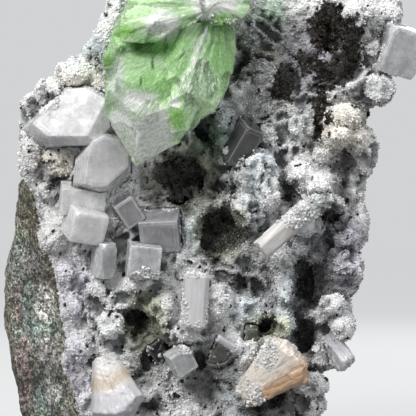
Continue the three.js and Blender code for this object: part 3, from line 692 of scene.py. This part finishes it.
# ---- druse: its grains
grains = {
    "spacing": 0.55 * mm, "small": 0.48 * mm, "large": 1.0 * mm, "tilt": 0.6, "darkness": 0.0, "seed": 7,
}
darkGrains = {
    "spacing": 0.75 * mm, "small": 0.6 * mm, "large": 1.4 * mm, "tilt": 1.4, "darkness": 1.0, "seed": 11,
    "low": 1.0 * mm, "high": 0.2,
}
mostGrains = 7e6  # in a square metre, before the spacing thins them
flatShare = 0.45  # of the grains show flat faces
grainBands = (1.0, 30, 60, 88, 116, 152)  # mm up the specimen; one piece between each two
grainCorners = 4
grainShapes = {
    # name: height of the shoulder, width of the shoulder, height of the tip
    "bead": (0.34, 0.42, 0.52),
    "nub": (0.26, 0.42, 0.46),
    "block": (0.42, 0.40, 0.60),
    "point": (0.25, 0.44, 0.80),
}


def makeGrainShapes():
    shapes = bpy.data.collections.new("grainShapes")
    scene.collection.children.link(shapes)
    for name, (shoulder, width, tip) in grainShapes.items():
        mesh = bpy.data.meshes.new(name)
        with edited(mesh) as work:
            for n in range(grainCorners):
                turn = 2 * math.pi * (n + 0.13 * (n % 2)) / grainCorners
                across = Vector((math.cos(turn), math.sin(turn) * 0.85, 0))
                work.verts.new(across * 0.46 + Vector((0, 0, -0.2)))
                work.verts.new(across * width + Vector((0, 0, shoulder + 0.08 * (n % 2))))
            work.verts.new((0.06, -0.04, tip))
            bmesh.ops.convex_hull(work, input=work.verts)
            bmesh.ops.recalc_face_normals(work, faces=work.faces)
        shapes.objects.link(bpy.data.objects.new(name, mesh))
    return shapes


# Each of these two returns where grains may grow and how thickly.
def growOnBed(given, place, normal):
    _, depth, height = axes(place)
    inBand = (height > given["low"]) * (height < given["high"])
    forward = (depth < -0.2 * mm) * (axes(normal)[1] < 0.6)
    clear = attribute(place.tree, "free") > 0.5 * mm
    away = calc("ABSOLUTE", attribute(place.tree, "dark") - given["darkness"])
    chosen = inBand * forward * (clear * (away < 0.5))
    return chosen, calc("MAXIMUM", attribute(place.tree, "cover"), given["darkness"])


def growOnCrystals(given, place, normal, zones):
    bed, gap = nearTo(given["bed"])
    near = gap < ramp(noise(place, 2.6 * mm, 2), 0.42, 0.62, 0.1 * mm, given["reach"])
    coat = 0.0
    for x, z, across, up in zones:
        away = (place - (x * mm, 0, z * mm)) * (1 / (across * mm), 0, 1 / (up * mm))
        coat = calc("MAXIMUM", ramp(calc("LENGTH", away, output=1), 0.8, 1.2, 1.0, 0.0), coat)
    coat = coat > ramp(noise(place, 1.8 * mm, 2), 0.3, 0.7, 0.0, 0.7)
    coat = coat * (axes(normal)[1] < 0.3)
    factor = calc("MAXIMUM", near, coat) * (1.0 - rayHits(bed, place, normal, 0.9 * mm))
    return factor > 0.1, factor


def grainTree(name, material, where, values):
    tree, given, place, normal = newTree(name, values)
    chosen, cover = where(given, place, normal)
    inputs = {"Mesh": given["Geometry"], "Selection": chosen, "Density Factor": cover}
    inputs |= {"Distance Min": given["spacing"], "Density Max": mostGrains, "Seed": given["seed"]}
    kind = "GeometryNodeDistributePointsOnFaces"
    spread = addNode(tree, kind, inputs, distribute_method="POISSON").outputs
    points = stored(Value(tree, spread["Points"]), shade=randomShare(tree, 3))
    size = ramp(calc("POWER", randomShare(tree, 4), 1.6), 0.0, 1.0, given["small"], given["large"])
    size = size * ramp(noise(place, 7 * mm), 0.35, 0.65, 0.78, 1.15)
    stretch = randomVector(tree, (0.85, 0.85, 0.75), (1.15, 1.15, 1.35), 5)
    tip = randomVector(tree, (-1, -1, -1), (1, 1, 1), 6) * combined(given["tilt"], given["tilt"], 3.1)
    lean = added(tree, "FunctionNodeEulerToRotation", {0: tip})
    turns = {0: Value(tree, spread["Rotation"]), 1: lean}
    turned = added(tree, "FunctionNodeRotateRotation", turns, rotation_space="LOCAL")
    shapes = added(tree, "GeometryNodeCollectionInfo", {0: given["shapes"], 1: True, 2: True})
    inputs = {"Points": points, "Instance": shapes, "Pick Instance": True, "Rotation": turned}
    placed = added(tree, "GeometryNodeInstanceOnPoints", {**inputs, "Scale": stretch * size})
    endTree(placed, material, attribute(tree, "shade") > flatShare)
    return tree


def grainMaterial():
    material, shader, tone = druseMaterial("quartzGrains", 0.24, 0.88, 1.10)
    shade = ramp(shaderAttribute(tone.tree, "shade"), 0.0, 1.0, 0.94, 1.12)
    feed(shader, "Base Color", tinted(tone, shade))
    lightSinks(shader, 0.5, 0.45 * mm)
    return material


def darkMaterial():
    material, tree, shader = newMaterial("darkGrains", (0.025, 0.02, 0.014), 0.5, Specular_IOR_Level=0.25)
    tone = mixed(shaderAttribute(tree, "shade"), (0.002, 0.002, 0.002, 1), (0.036, 0.028, 0.017, 1))
    feed(shader, "Base Color", tone)
    return material


def makeGrains(bed, shapes):
    values = grains | {"shapes": shapes, "low": 0.0, "high": 0.0}
    tree = grainTree("druseGrains", grainMaterial(), growOnBed, values)
    for n, (low, high) in enumerate(zip(grainBands, grainBands[1:])):
        band = grow(f"druse_grains_{n + 1}", bed, tree, values | {"low": low * mm, "high": high * mm})
        finished(band, [])
    values = darkGrains | {"shapes": shapes}
    tree = grainTree("mineralGrains", darkMaterial(), growOnBed, values)
    finished(grow("dark_grains", bed, tree, values), [])


# Sugar on the crystals, along the line where they leave the coat and on some of their faces.
crustZones = [
    (25.5, 69, 7.5, 6), (-44, 96.5, 3.5, 3), (-4, 51, 3.6, 1.3), (-17.5, 50.6, 4, 1.2),
    (-27, 28, 4.5, 1.8), (-5.5, 30.3, 2.5, 1.3), (9, 17, 5.5, 5.5), (13.5, 29, 5, 4.5),
    (-7.3, 38, 1.4, 7), (-3.6, 35.4, 4, 2.0), (-0.4, 39, 0.9, 4), (8, 30, 2.2, 1.6),
]
rimZones = [(-3, 121.5, 0.9, 3.2), (-1.4, 118.4, 1.8, 0.7), (3.5, 117.6, 3, 0.5)]
crust = {"voxel": 0.9 * mm, "tilt": 0.8, "seed": 5}
crustSizes = {
    # piece: spacing, smallest and largest grain, furthest from the coat, zones
    "crust_lumps": (0.85 * mm, 0.8 * mm, 1.5 * mm, 1.4 * mm, crustZones),
    "crust_grains": (0.32 * mm, 0.42 * mm, 0.85 * mm, 2.0 * mm, crustZones + rimZones),
}


def crustMaterial():
    material, tree, shader = newMaterial("sugar", (0.8, 0.8, 0.81), 0.34, IOR=1.54)
    mottle = ramp(noise(objectSpots(tree), 2.2 * mm, 3), 0.3, 0.7, 0.45, 0.90)
    shade = calc("MULTIPLY_ADD", shaderAttribute(tree, "shade"), 0.1, mottle)
    feed(shader, "Base Color", tinted((1, 1, 1.01, 1), shade))
    lightSinks(shader, 0.5, 0.45 * mm)
    return material


def makeCrust(bed, shapes):
    material = crustMaterial()
    work = copyOf("crystalsForCrust", crystalNodes)
    remeshed(work, crust["voxel"])
    applied(work)
    for name, (spacing, small, large, reach, zones) in crustSizes.items():
        values = {"spacing": spacing, "small": small, "large": large, "reach": reach}
        values |= {"shapes": shapes, "bed": bed, "tilt": crust["tilt"], "seed": crust["seed"]}
        tree = grainTree(name, material, partial(growOnCrystals, zones=zones), values)
        finished(grow(name, work, tree, values), [])
    dropped(work)


bed = makeDruseBed()
grainKinds = makeGrainShapes()
makeGrains(bed, grainKinds)
makeCrust(bed, grainKinds)
finished(bed, ["quartz_druse"])
for shape in list(grainKinds.objects):
    dropped(shape)
bpy.data.collections.remove(grainKinds)

# ---- colourless apophyllite: flat faces with growth frames, frosted to clear
clearKinds = {
    # kind: colour, share of light let in, roughness, colour it takes on and how fast per metre, how light
    # the middle of a face is, how white its edges are (partly frosted edges and growth frames, partly
    # painted highlight)
    "milky": ((0.80, 0.80, 0.81), 0.2, 0.28, (0.9, 0.9, 0.92), 10, 1.0, 0.35),
    "white": ((0.94, 0.94, 0.95), 0.12, 0.30, (0.9, 0.9, 0.92), 10, 1.0, 0.4),
    "frosted": ((0.70, 0.71, 0.72), 0.24, 0.24, (0.78, 0.78, 0.82), 30, 0.92, 0.5),
    "glassy": ((0.50, 0.50, 0.52), 0.3, 0.14, (0.70, 0.71, 0.74), 40, 0.86, 0.3),
    "framed": ((0.54, 0.54, 0.56), 0.3, 0.14, (0.70, 0.71, 0.74), 40, 0.70, 0.6),
    "smoky": ((0.26, 0.27, 0.21), 0.45, 0.1, (0.40, 0.42, 0.36), 70, 0.8, 0.2),
    # darkInShade: a near-black colour for colourless crystals that lie in shade: painted shade.
    "darkInShade": ((0.13, 0.13, 0.13), 0.5, 0.1, (0.40, 0.42, 0.40), 70, 0.8, 0.35),
}
clearCrystals = {
    # last part of the names of piece and frame node: kind, width of the growth frames
    "pair": ("milky", 1.2 * mm),
    "shelf": ("white", 0.9 * mm),
    "terrace": ("white", 0.8 * mm),
    "tilted": ("framed", 0.6 * mm),
    "block": ("glassy", 0.9 * mm),
    "cube": ("frosted", 0.8 * mm),
    "prism": ("frosted", 0.6 * mm),
    "shaded": ("darkInShade", 0.7 * mm),
    "edge": ("frosted", 1.0 * mm),
    "low": ("frosted", 0.7 * mm),
    "dark": ("darkInShade", 0.6 * mm),
    "smoky": ("smoky", 0.6 * mm),
    "nook": ("smoky", 0.4 * mm),
}
crystalEdge = 0.12 * mm  # rounding of the edges
growthStep = 0.07 * mm  # height of a growth frame
growthWidth = 0.16 * mm  # width of its step
growthSeed = 20  # of the first crystal; each next one takes the next


def clearMaterial(kind):
    color, through, roughness, veil, density, heart, rim = clearKinds[kind]
    sockets = {"Transmission_Weight": through, "IOR": 1.535}
    material, tree, shader = newMaterial("apophyllite_" + kind, color, roughness, **sockets)
    spots = objectSpots(tree)
    veils = noise(spots * (1, 1, 0.35), 0.9 * mm, 3, 0.6)
    cloud = ramp(calc("MULTIPLY_ADD", veils, 0.35, noise(spots, 3.6 * mm, 4, 0.6)), 0.45, 0.9)
    pale = tuple(min(1, c * 1.2) for c in color)
    dim = tuple(c * 0.7 for c in color)
    tone = mixed(cloud, (*dim, 1), (*pale, 1))
    if kind == "milky":  # the lower of the grown-together pair is greyer
        up = axes(spots)[2]
        lower = ramp(up, 87.4 * mm, 86.4 * mm) * ramp(up, 73.5 * mm, 75 * mm)
        tone = mixed(lower, tone, mixed(cloud, (0.60, 0.60, 0.61, 1), (0.86, 0.86, 0.87, 1)))
    edge = shaderAttribute(tree, "edge")
    tone = tinted(tone, ramp(edge, -1.0, 0.0, heart, 1.0))
    # The edges and growth-frame steps turn whiter: partly the crystal's frosted edges, partly painted
    # highlight.
    feed(shader, "Base Color", mixed(edge * rim, tone, (0.93, 0.93, 0.94, 1)))
    rough = ramp(noise(spots, 1.6 * mm, 4), 0.3, 0.7, roughness * 0.6, roughness * 1.4)
    feed(shader, "Roughness", rough)
    etched = calc("MULTIPLY_ADD", noise(spots, 0.6 * mm, 3), 0.35, noise(spots, 2.6 * mm, 2))
    bumped(shader, etched, 0.08 * mm, 0.5)
    absorbing(tree, veil, density)
    lightSinks(shader, 0.85, 2.6 * mm)
    return material


def innerRadius(face):
    middle = face.calc_center_median()
    sides = [(e.verts[0].co, e.verts[1].co) for e in face.edges]
    return min((middle - a).cross(middle - b).length / max((b - a).length, 1e-9) for a, b in sides)


def isConvex(face):
    return all(corner.is_convex for corner in face.loops)


# Sets a copy of a face into it and moves it in or out; returns the faces round it.
def setIn(work, face, inward, rise):
    middle = face.calc_center_median()
    share = 1 - inward / innerRadius(face)
    ring = bmesh.ops.inset_individual(work, faces=[face], thickness=0, depth=0)["faces"]
    up = face.normal.copy() * rise
    for corner in face.verts:
        corner.co = middle + (corner.co - middle) * share + up
    return ring


# Rounds the edges, then sets a shallow frame into each broad face.
def growthFrames(mesh, width, seed):
    random = np.random.default_rng(seed)
    with edited(mesh) as work:
        edge = work.faces.layers.float.new("edge")
        bmesh.ops.dissolve_limit(work, angle_limit=0.02, verts=work.verts, edges=work.edges)
        sharp = [e for e in work.edges if len(e.link_faces) == 2 and e.calc_face_angle() > 0.3]
        rounding = {"offset": crystalEdge, "segments": 1, "affect": "EDGES", "clamp_overlap": True}
        for face in bmesh.ops.bevel(work, geom=sharp, **rounding)["faces"]:
            face[edge] = 1
        for face in [f for f in work.faces if innerRadius(f) > 2.2 * width and isConvex(f)]:
            rise = growthStep * random.choice([-1, 1, 1]) * random.uniform(0.7, 1.3)
            setIn(work, face, min(width * random.uniform(0.4, 1.0), 0.3 * innerRadius(face)), 0)
            for step in setIn(work, face, growthWidth, rise):
                step[edge] = 0.5
            face[edge] = -1
        bmesh.ops.recalc_face_normals(work, faces=work.faces)


def makeClearCrystals():
    made = {kind: clearMaterial(kind) for kind in clearKinds}
    for n, (key, (kind, width)) in enumerate(clearCrystals.items()):
        node = "clear_apophyllite_" + key
        piece = copyOf("clear_" + key, [node])
        growthFrames(piece.data, width, growthSeed + n)
        piece.data.materials.append(made[kind])
        finished(piece, [node])


makeClearCrystals()

# ---- fans: the green sheaf and the stilbite bundles, ridged along lines from their roots
def fanTree(name, material, values):
    _, given, place, normal = newTree(name, values)
    way = place - given["root"]
    ahead = calc("DOT_PRODUCT", way, given["along"], output=1)
    aside = calc("DOT_PRODUCT", way, given["side"], output=1)
    face = calc("CROSS_PRODUCT", given["along"], given["side"])
    proud = calc("DOT_PRODUCT", way, face, output=1)
    reach = calc("LENGTH", way, output=1)
    fan = combined(calc("ARCTAN2", aside, ahead), proud / calc("MAXIMUM", reach, 1 * mm), reach)
    lines = fan / combined(given["ridge"], given["ridge"], 14 * mm)
    ridge = 0.12 - calc("ABSOLUTE", noise(lines, 1.0, 3, 0.55) - 0.5)

    # Long plates, each tilted its own way, lie over one another.
    space = fan / combined(given["plate"], given["plate"], 10 * mm)
    space = space + (noise(place, 8 * mm, 2, output=1) - (0.5, 0.5, 0.5)) * 0.9
    plates = cells(space, 1.0, output="Color")
    slope = (plates - (0.5, 0.5, 0.5)) * 2.0
    tilt = calc("DOT_PRODUCT", space - cells(space, 1.0, output="Position"), slope, output=1)
    tilt = calc("MULTIPLY_ADD", axes(slope)[0], 0.25, tilt) - 0.2
    height = calc("MULTIPLY_ADD", tilt, given["tilt"], ridge * (given["height"] * 2.6))

    # The far ends of the blades stand out unevenly.
    uneven = axes(cells(lines * (0.8, 0.8, 0.0), 1.0, output="Color"))[0]
    fray = uneven * ramp(reach / given["length"], 0.7, 1.0) * given["fray"]
    offset = normal * height - calc("NORMALIZE", way) * fray
    geometry = stored(given["Geometry"], fan=fan, plate=axes(plates)[1])
    endTree(moved(geometry, offset), material)
    return geometry.tree


sheafFinest = 0.7 * mm  # longest edge
sheafCrease = 28  # degrees
sheaf = {
    "root": (0.0016, -0.012, 0.1217),
    "along": (0, 0, -1),
    "side": (1, 0, 0),
    "ridge": 0.05,
    "height": 0.16 * mm,
    "plate": 0.16,
    "tilt": 0.5 * mm,
    "fray": 0.0,
    "length": 1.0,
}
# Colours of the leaves, some of them painted shade and a painted highlight; each zone is its middle and half
# size across and up, in mm.
sheafBase = (0.48, 0.73, 0.39)
sheafColors = {
    "middle": ((0.34, 0.64, 0.23), [(-7.9, 108.2, 4, 6), (3.4, 108.2, 3.5, 9), (-14, 100, 5, 4)]),
    # Painted shade: darker green below the lower edges of the overlapping upper-left block and of the upper
    # crystal.
    "shadeUnderEdges": ((0.13, 0.38, 0.07), [(-15.5, 110.4, 5, 2.2), (2, 116, 4, 2)]),
    "pale": ((0.95, 1.0, 0.93), [
        (-17.4, 86.6, 6, 6), (-14, 88, 4.5, 7), (-23.6, 90.6, 3, 4), (-12, 116.3, 4, 3.2),
        (1.6, 122.3, 6, 3.5), (-20, 96, 4, 3),
    ]),
    "grey": ((0.62, 0.72, 0.62), [(-24.7, 102.8, 2.5, 6)]),
    # Saturated green, painted darker on facets that face away from the light: partly the crystal's colour,
    # partly painted shade.
    "vividShaded": ((0.27, 0.60, 0.12), [
        (-22.2, 114.2, 3, 1.5), (-8.4, 91.5, 2.2, 2.6), (3.4, 117.7, 2.6, 2), (-27.1, 107.7, 1.6, 1.8),
    ]),
    "white": ((0.92, 0.97, 0.90), [
        (-0.9, 115, 0.5, 1.6), (-2, 112.3, 0.5, 1.6), (-3, 109.6, 0.6, 1.6), (-4.1, 106.6, 0.6, 1.6),
        # The spot at (-9, 95.8) is a painted highlight; the other white zones are streaks and the white
        # druse rim.
        (-9, 95.8, 1.2, 1.2), (-16, 97.4, 2.5, 0.7), (-3, 121.5, 0.7, 3), (-1.4, 118.5, 1.6, 0.5),
    ]),
    # Painted shade: thin dark lines where the leaves part and under the edge of the upper-left block.
    "slitShade": ((0.05, 0.16, 0.03), [
        (-14.9, 106.3, 0.4, 1.6), (-17.9, 101.2, 0.35, 1.7), (-23.3, 109.8, 1.8, 1.2),
    ]),
}
veilZones = [
    (-4, 103, 4, 8), (-12, 117, 5, 3.5), (-17, 87, 6, 6), (0, 100, 3, 6), (2, 122, 6, 4),
    (-16, 97, 5, 3),
]


def sheafMaterial():
    sockets = {"Transmission_Weight": 0.2, "IOR": 1.535}
    material, tree, shader = newMaterial("apophyllite_green", (0.4, 0.6, 0.35), 0.14, **sockets)
    fan = shaderAttribute(tree, "fan", "Vector")
    stray = noise(objectSpots(tree), 3 * mm, 2, output=1)
    streak = noise(fan * (1 / 0.026, 1 / 0.026, 1 / (15 * mm)) + stray, 1.0, 4, 0.65)
    thread = noise(fan * (1 / 0.014, 1 / 0.014, 1 / (12 * mm)) + stray, 1.0, 4, 0.7)
    tint = shaderAttribute(tree, "tint", "Color")
    tint = tinted(tint, ramp(shaderAttribute(tree, "facet"), 0.0, 1.0, 0.88, 1.15))
    tint = tinted(tint, ramp(shaderAttribute(tree, "plate"), 0.1, 0.9, 0.70, 1.25))
    white = ramp(streak, 0.48, 0.62) * shaderAttribute(tree, "veil")
    tint = mixed(white, tint, (0.88, 0.95, 0.86, 1))
    feed(shader, "Base Color", tinted(tint, ramp(thread, 0.34, 0.66, 0.68, 1.22)))
    bumped(shader, thread, 0.2 * mm, 0.7)
    absorbing(tree, (0.46, 0.80, 0.36), 30)
    lightSinks(shader, 0.7, 2.2 * mm)
    return material


# Halves long edges, which keeps the flat faces and corners as they are.
def finerFaces(mesh, longest, passes):
    with edited(mesh) as work:
        bmesh.ops.triangulate(work, faces=work.faces)
        for _ in range(passes):
            tooLong = [e for e in work.edges if e.calc_length() > longest]
            bmesh.ops.subdivide_edges(work, edges=tooLong, cuts=1)
            bmesh.ops.triangulate(work, faces=work.faces)


# Gives every flat face of the crystal its own value.
def markFacets(mesh, seed):
    random = np.random.default_rng(seed)
    with edited(mesh) as work:
        layer = work.faces.layers.float.new("facet")
        waiting = dict.fromkeys(work.faces)  # unlike a set, it keeps one order in every run
        while waiting:
            value = random.uniform()
            group = [waiting.popitem()[0]]
            while group:
                face = group.pop()
                face[layer] = value
                for near in {f for e in face.edges for f in e.link_faces} & waiting.keys():
                    if near.normal.angle(face.normal) < 0.05:
                        del waiting[near]
                        group.append(near)


def makeSheaf():
    work = copyOf("sheafWork", ["green_apophyllite"])
    markFacets(work.data, 3)
    finerFaces(work.data, sheafFinest, 6)
    spots = pointArray(work.data)
    storeColors(work.data, "tint", painted(spots, sheafBase, sheafColors, 0.45))
    storeValues(work.data, "veil", 0.25 + 0.7 * zoneMask(spots, veilZones))
    piece = grow("green_sheaf", work, fanTree("sheafFan", sheafMaterial(), sheaf), sheaf)
    piece.data.set_sharp_from_angle(angle=math.radians(sheafCrease))
    finished(piece, ["green_apophyllite"])
    dropped(work)


makeSheaf()

stilbite = {
    # last part of the piece's name: that of its frame node, root, tip, a direction across the fan, kind
    "fan": ("orange_bundle", (10, -16.5, 17.5), (24, -22.5, 30), (0.67, 0, -0.74), "orange"),
    "bundle": ("cream_bundle", (-28.5, -13, 27), (-23, -18.5, 11.5), (1, 0, 0.2), "cream"),
    "prism": ("white", (-4.2, -19, 10), (-3.5, -20, 43), (1, 0, 0), "pearl"),
    "blade": ("peach", (45, -14, 88), (20, -24, 62), (0.67, 0, -0.74), "peach"),
    "corner_fan": ("corner", (30, -10, 38), (35, -12.5, 29), (0.8, 0, 0.55), "silky"),
    "rod": ("splinter", (25, -13, 20), (5, -17.7, 31.6), (0.5, 0, 0.8), "silky"),
}
stilbiteKinds = {
    # relief is the share of the ridges and plates that shows
    "orange": {"color": (0.66, 0.43, 0.26), "pale": (0.84, 0.77, 0.70), "through": 0.1, "relief": 1.0},
    "cream": {"color": (0.62, 0.54, 0.44), "pale": (0.84, 0.82, 0.80), "through": 0.15, "relief": 0.5},
    "pearl": {"color": (0.78, 0.77, 0.79), "pale": (0.88, 0.87, 0.88), "through": 0.2, "relief": 0.08},
    "silky": {"color": (0.64, 0.64, 0.70), "pale": (0.90, 0.90, 0.92), "through": 0.3, "relief": 1.0},
    "peach": {"color": (0.71, 0.66, 0.63), "pale": (0.85, 0.83, 0.82), "through": 0.25, "relief": 0.7},
}
bundles = ("orange", "cream")  # kinds whose blades are wrapped into one
stilbiteVoxel = 0.3 * mm
stilbiteLook = {"ridge": 0.04, "height": 0.1 * mm, "plate": 0.12, "tilt": 0.25 * mm, "fray": 0.8 * mm}


def stilbiteMaterial(kind):
    settings = stilbiteKinds[kind]
    relief = settings["relief"]
    sockets = {"Transmission_Weight": settings["through"], "IOR": 1.5}
    sockets |= {"Coat_Weight": 0.2, "Coat_Roughness": 0.2}
    material, tree, shader = newMaterial("stilbite_" + kind, settings["color"], 0.34, **sockets)
    fan = shaderAttribute(tree, "fan", "Vector")
    streak = noise(fan * (1 / 0.03, 1 / 0.03, 1 / (9 * mm)), 1.0, 4, 0.6)
    side, _, reach = axes(fan)
    far = calc("MULTIPLY_ADD", streak, 4 * mm, reach)
    if kind == "orange":  # orange along its lower edge
        band = ramp(calc("MULTIPLY_ADD", streak, -0.4, side), -0.22, 0.06, 1.0, 0.0)
    elif kind == "cream":  # beige across its middle
        band = 1.0 - ramp(far, 7 * mm, 10 * mm) * ramp(far, 13.5 * mm, 11 * mm)
    else:
        band = ramp(streak, 0.35, 0.65)
    tone = mixed(band, (*settings["color"], 1), (*settings["pale"], 1))
    if kind == "cream":  # and greyer towards its far end
        tone = mixed(ramp(far, 11.5 * mm, 14 * mm, 0.0, 0.8), tone, (0.62, 0.61, 0.66, 1))
    tone = tinted(tone, ramp(streak, 0.3, 0.7, 1 - 0.14 * relief, 1 + 0.1 * relief))
    plate = shaderAttribute(tree, "plate")
    tone = tinted(tone, ramp(plate, 0.1, 0.9, 1 - 0.12 * relief, 1 + 0.1 * relief))
    feed(shader, "Base Color", tone)
    bumped(shader, streak, 0.12 * mm, 0.6 * relief)
    lightSinks(shader, 0.4, 1 * mm)
    return material


# Wraps the blades of a bundle into one.
def wrapped(mesh):
    with edited(mesh) as work:
        hull = bmesh.ops.convex_hull(work, input=work.verts)
        loose = set(hull["geom_interior"]) | set(hull["geom_unused"])
        bmesh.ops.delete(work, geom=[v for v in loose if isinstance(v, bmesh.types.BMVert)], context="VERTS")
        spare = [f for f in work.faces if f not in set(hull["geom"])]
        bmesh.ops.delete(work, geom=spare, context="FACES_ONLY")
        bmesh.ops.recalc_face_normals(work, faces=work.faces)


def makeStilbites():
    made = {kind: stilbiteMaterial(kind) for kind in stilbiteKinds}
    for key, (nodeKey, root, tip, side, kind) in stilbite.items():
        name = "stilbite_" + key
        node = "stilbite_" + nodeKey
        along = Vector(tip) - Vector(root)
        values = stilbiteLook | {"root": Vector(root) * mm, "length": along.length * mm}
        along.normalize()
        aside = Vector(side) - along * along.dot(Vector(side))
        values |= {"along": along, "side": aside.normalized()}
        values |= {key: values[key] * stilbiteKinds[kind]["relief"] for key in ("height", "tilt", "fray")}
        work = copyOf(name + "Work", [node])
        if kind in bundles:
            wrapped(work.data)
        remeshed(work, stilbiteVoxel)
        piece = grow(name, work, fanTree(name + "Fan", made[kind], values), values)
        finished(piece, [node])
        dropped(work)


makeStilbites()

# ---- basalt
basaltColor = (0.20, 0.185, 0.145)
basaltVoxel = 1.0 * mm
basalt = {"relief": 3.2 * mm, "bubble": 3.0 * mm, "bubbleDepth": 1.3 * mm}


def basaltTree(material):
    tree, given, place, normal = newTree("basaltForm", basalt)
    _, depth, height = axes(place)
    relief = (noise(place, 9 * mm, 5, 0.62) - 0.5) * given["relief"]
    relief = calc("MULTIPLY_ADD", noise(place, 1.6 * mm, 3, 0.6) - 0.5, 0.9 * mm, relief)
    some = ramp(noise(place, 11 * mm, 2), 0.45, 0.58)
    pit = ramp(cells(place, given["bubble"]), 0.16, 0.34, 1.0, 0.0) * some
    relief = calc("MULTIPLY_ADD", pit, given["bubbleDepth"] * -1.0, relief)
    free = ramp(height, 0.2 * mm, 2.5 * mm) * ramp(depth, 0.9 * mm, 2.4 * mm)
    # Its front reaches a little into the coat, so that no light shows between the two.
    ahead = ramp(depth, 0.9 * mm, 2.4 * mm, 1.0, 0.0) * (0.9 * mm)
    offset = normal * (relief * free) + calc("MULTIPLY", (0, -1, 0), ahead)
    endTree(stored(moved(given["Geometry"], offset), pit=pit), material)
    return tree


# Where the rock turns brown, teal, chalky or pinkish: middle and half size across and up, in mm.
basaltZones = {
    "olive": ((0.20, 0.19, 0.14), [(-48, 75, 5, 10), (-50, 62, 5, 6)]),
    "greyGreen": ((0.20, 0.235, 0.20), [(-53, 48, 4, 14), (-48, 35, 8, 7), (-46, 16, 6, 8)]),
    "teal": ((0.23, 0.29, 0.27), [(-52, 40, 1.8, 3.5), (-50, 34, 3.5, 2.5), (-46, 14, 4, 3)]),
    "pink": ((0.27, 0.215, 0.20), [(-52.5, 22, 2.5, 10), (-54.5, 42, 1.0, 6)]),
    "chalk": ((0.45, 0.44, 0.42), [
        (-50.5, 53, 3.2, 4), (-46, 42, 2.8, 5.5), (-45, 28, 3.6, 5.5), (-44, 17, 2.4, 4),
        (-45.5, 62, 2, 3),
    ]),
}


def basaltMaterial():
    material, tree, shader = newMaterial("basalt", basaltColor, 0.85)
    spots = objectSpots(tree)
    coarse = ramp(noise(spots, 2.4 * mm, 4, 0.7), 0.38, 0.62, 0.6, 1.5)
    grain = ramp(noise(spots, 0.65 * mm, 4, 0.8), 0.42, 0.58, 0.45, 1.6)
    for size, low, high in ((0.6 * mm, 0.35, 1.75), (1.3 * mm, 0.7, 1.35)):
        grain = grain * ramp(axes(cells(spots, size, output="Color"))[0], 0.1, 0.9, low, high)
    tone = tinted(shaderAttribute(tree, "tint", "Color"), coarse * grain)
    tone = tinted(tone, ramp(noise(spots, 13 * mm, 5, 0.6), 0.38, 0.62, 0.5, 1.35))
    chalk = ramp(noise(spots, 1.1 * mm, 5, 0.8), 0.535, 0.57)
    chalk = chalk * ramp(noise(spots, 7 * mm, 4), 0.46, 0.56, 0.08, 1.0)
    tone = mixed(chalk, tone, (0.58, 0.56, 0.53, 1))
    # Painted shade: the small holes and the sunk bubbles are painted near black.
    tiny = ramp(cells(spots, 1.5 * mm), 0.12, 0.26, 1.0, 0.0) * ramp(noise(spots, 4 * mm, 2), 0.45, 0.55)
    holes = calc("MAXIMUM", tiny, shaderAttribute(tree, "pit"))
    feed(shader, "Base Color", mixed(holes * 0.85, tone, (0.035, 0.03, 0.025, 1)))
    relief = calc("MULTIPLY_ADD", holes, -0.6, noise(spots, 0.9 * mm, 5, 0.75))
    bumped(shader, relief, 0.7 * mm)
    return material


def makeBasalt():
    work = copyOf("basaltWork", ["basalt_matrix"])
    remeshed(work, basaltVoxel)
    rock = grow("basalt_rock", work, basaltTree(basaltMaterial()), basalt)
    spots = strayed(pointArray(rock.data), 3 * mm, 1.6 * mm)
    storeColors(rock.data, "tint", painted(spots, basaltColor, basaltZones, 0.35))
    finished(rock, ["basalt_matrix"])
    dropped(work)


makeBasalt()
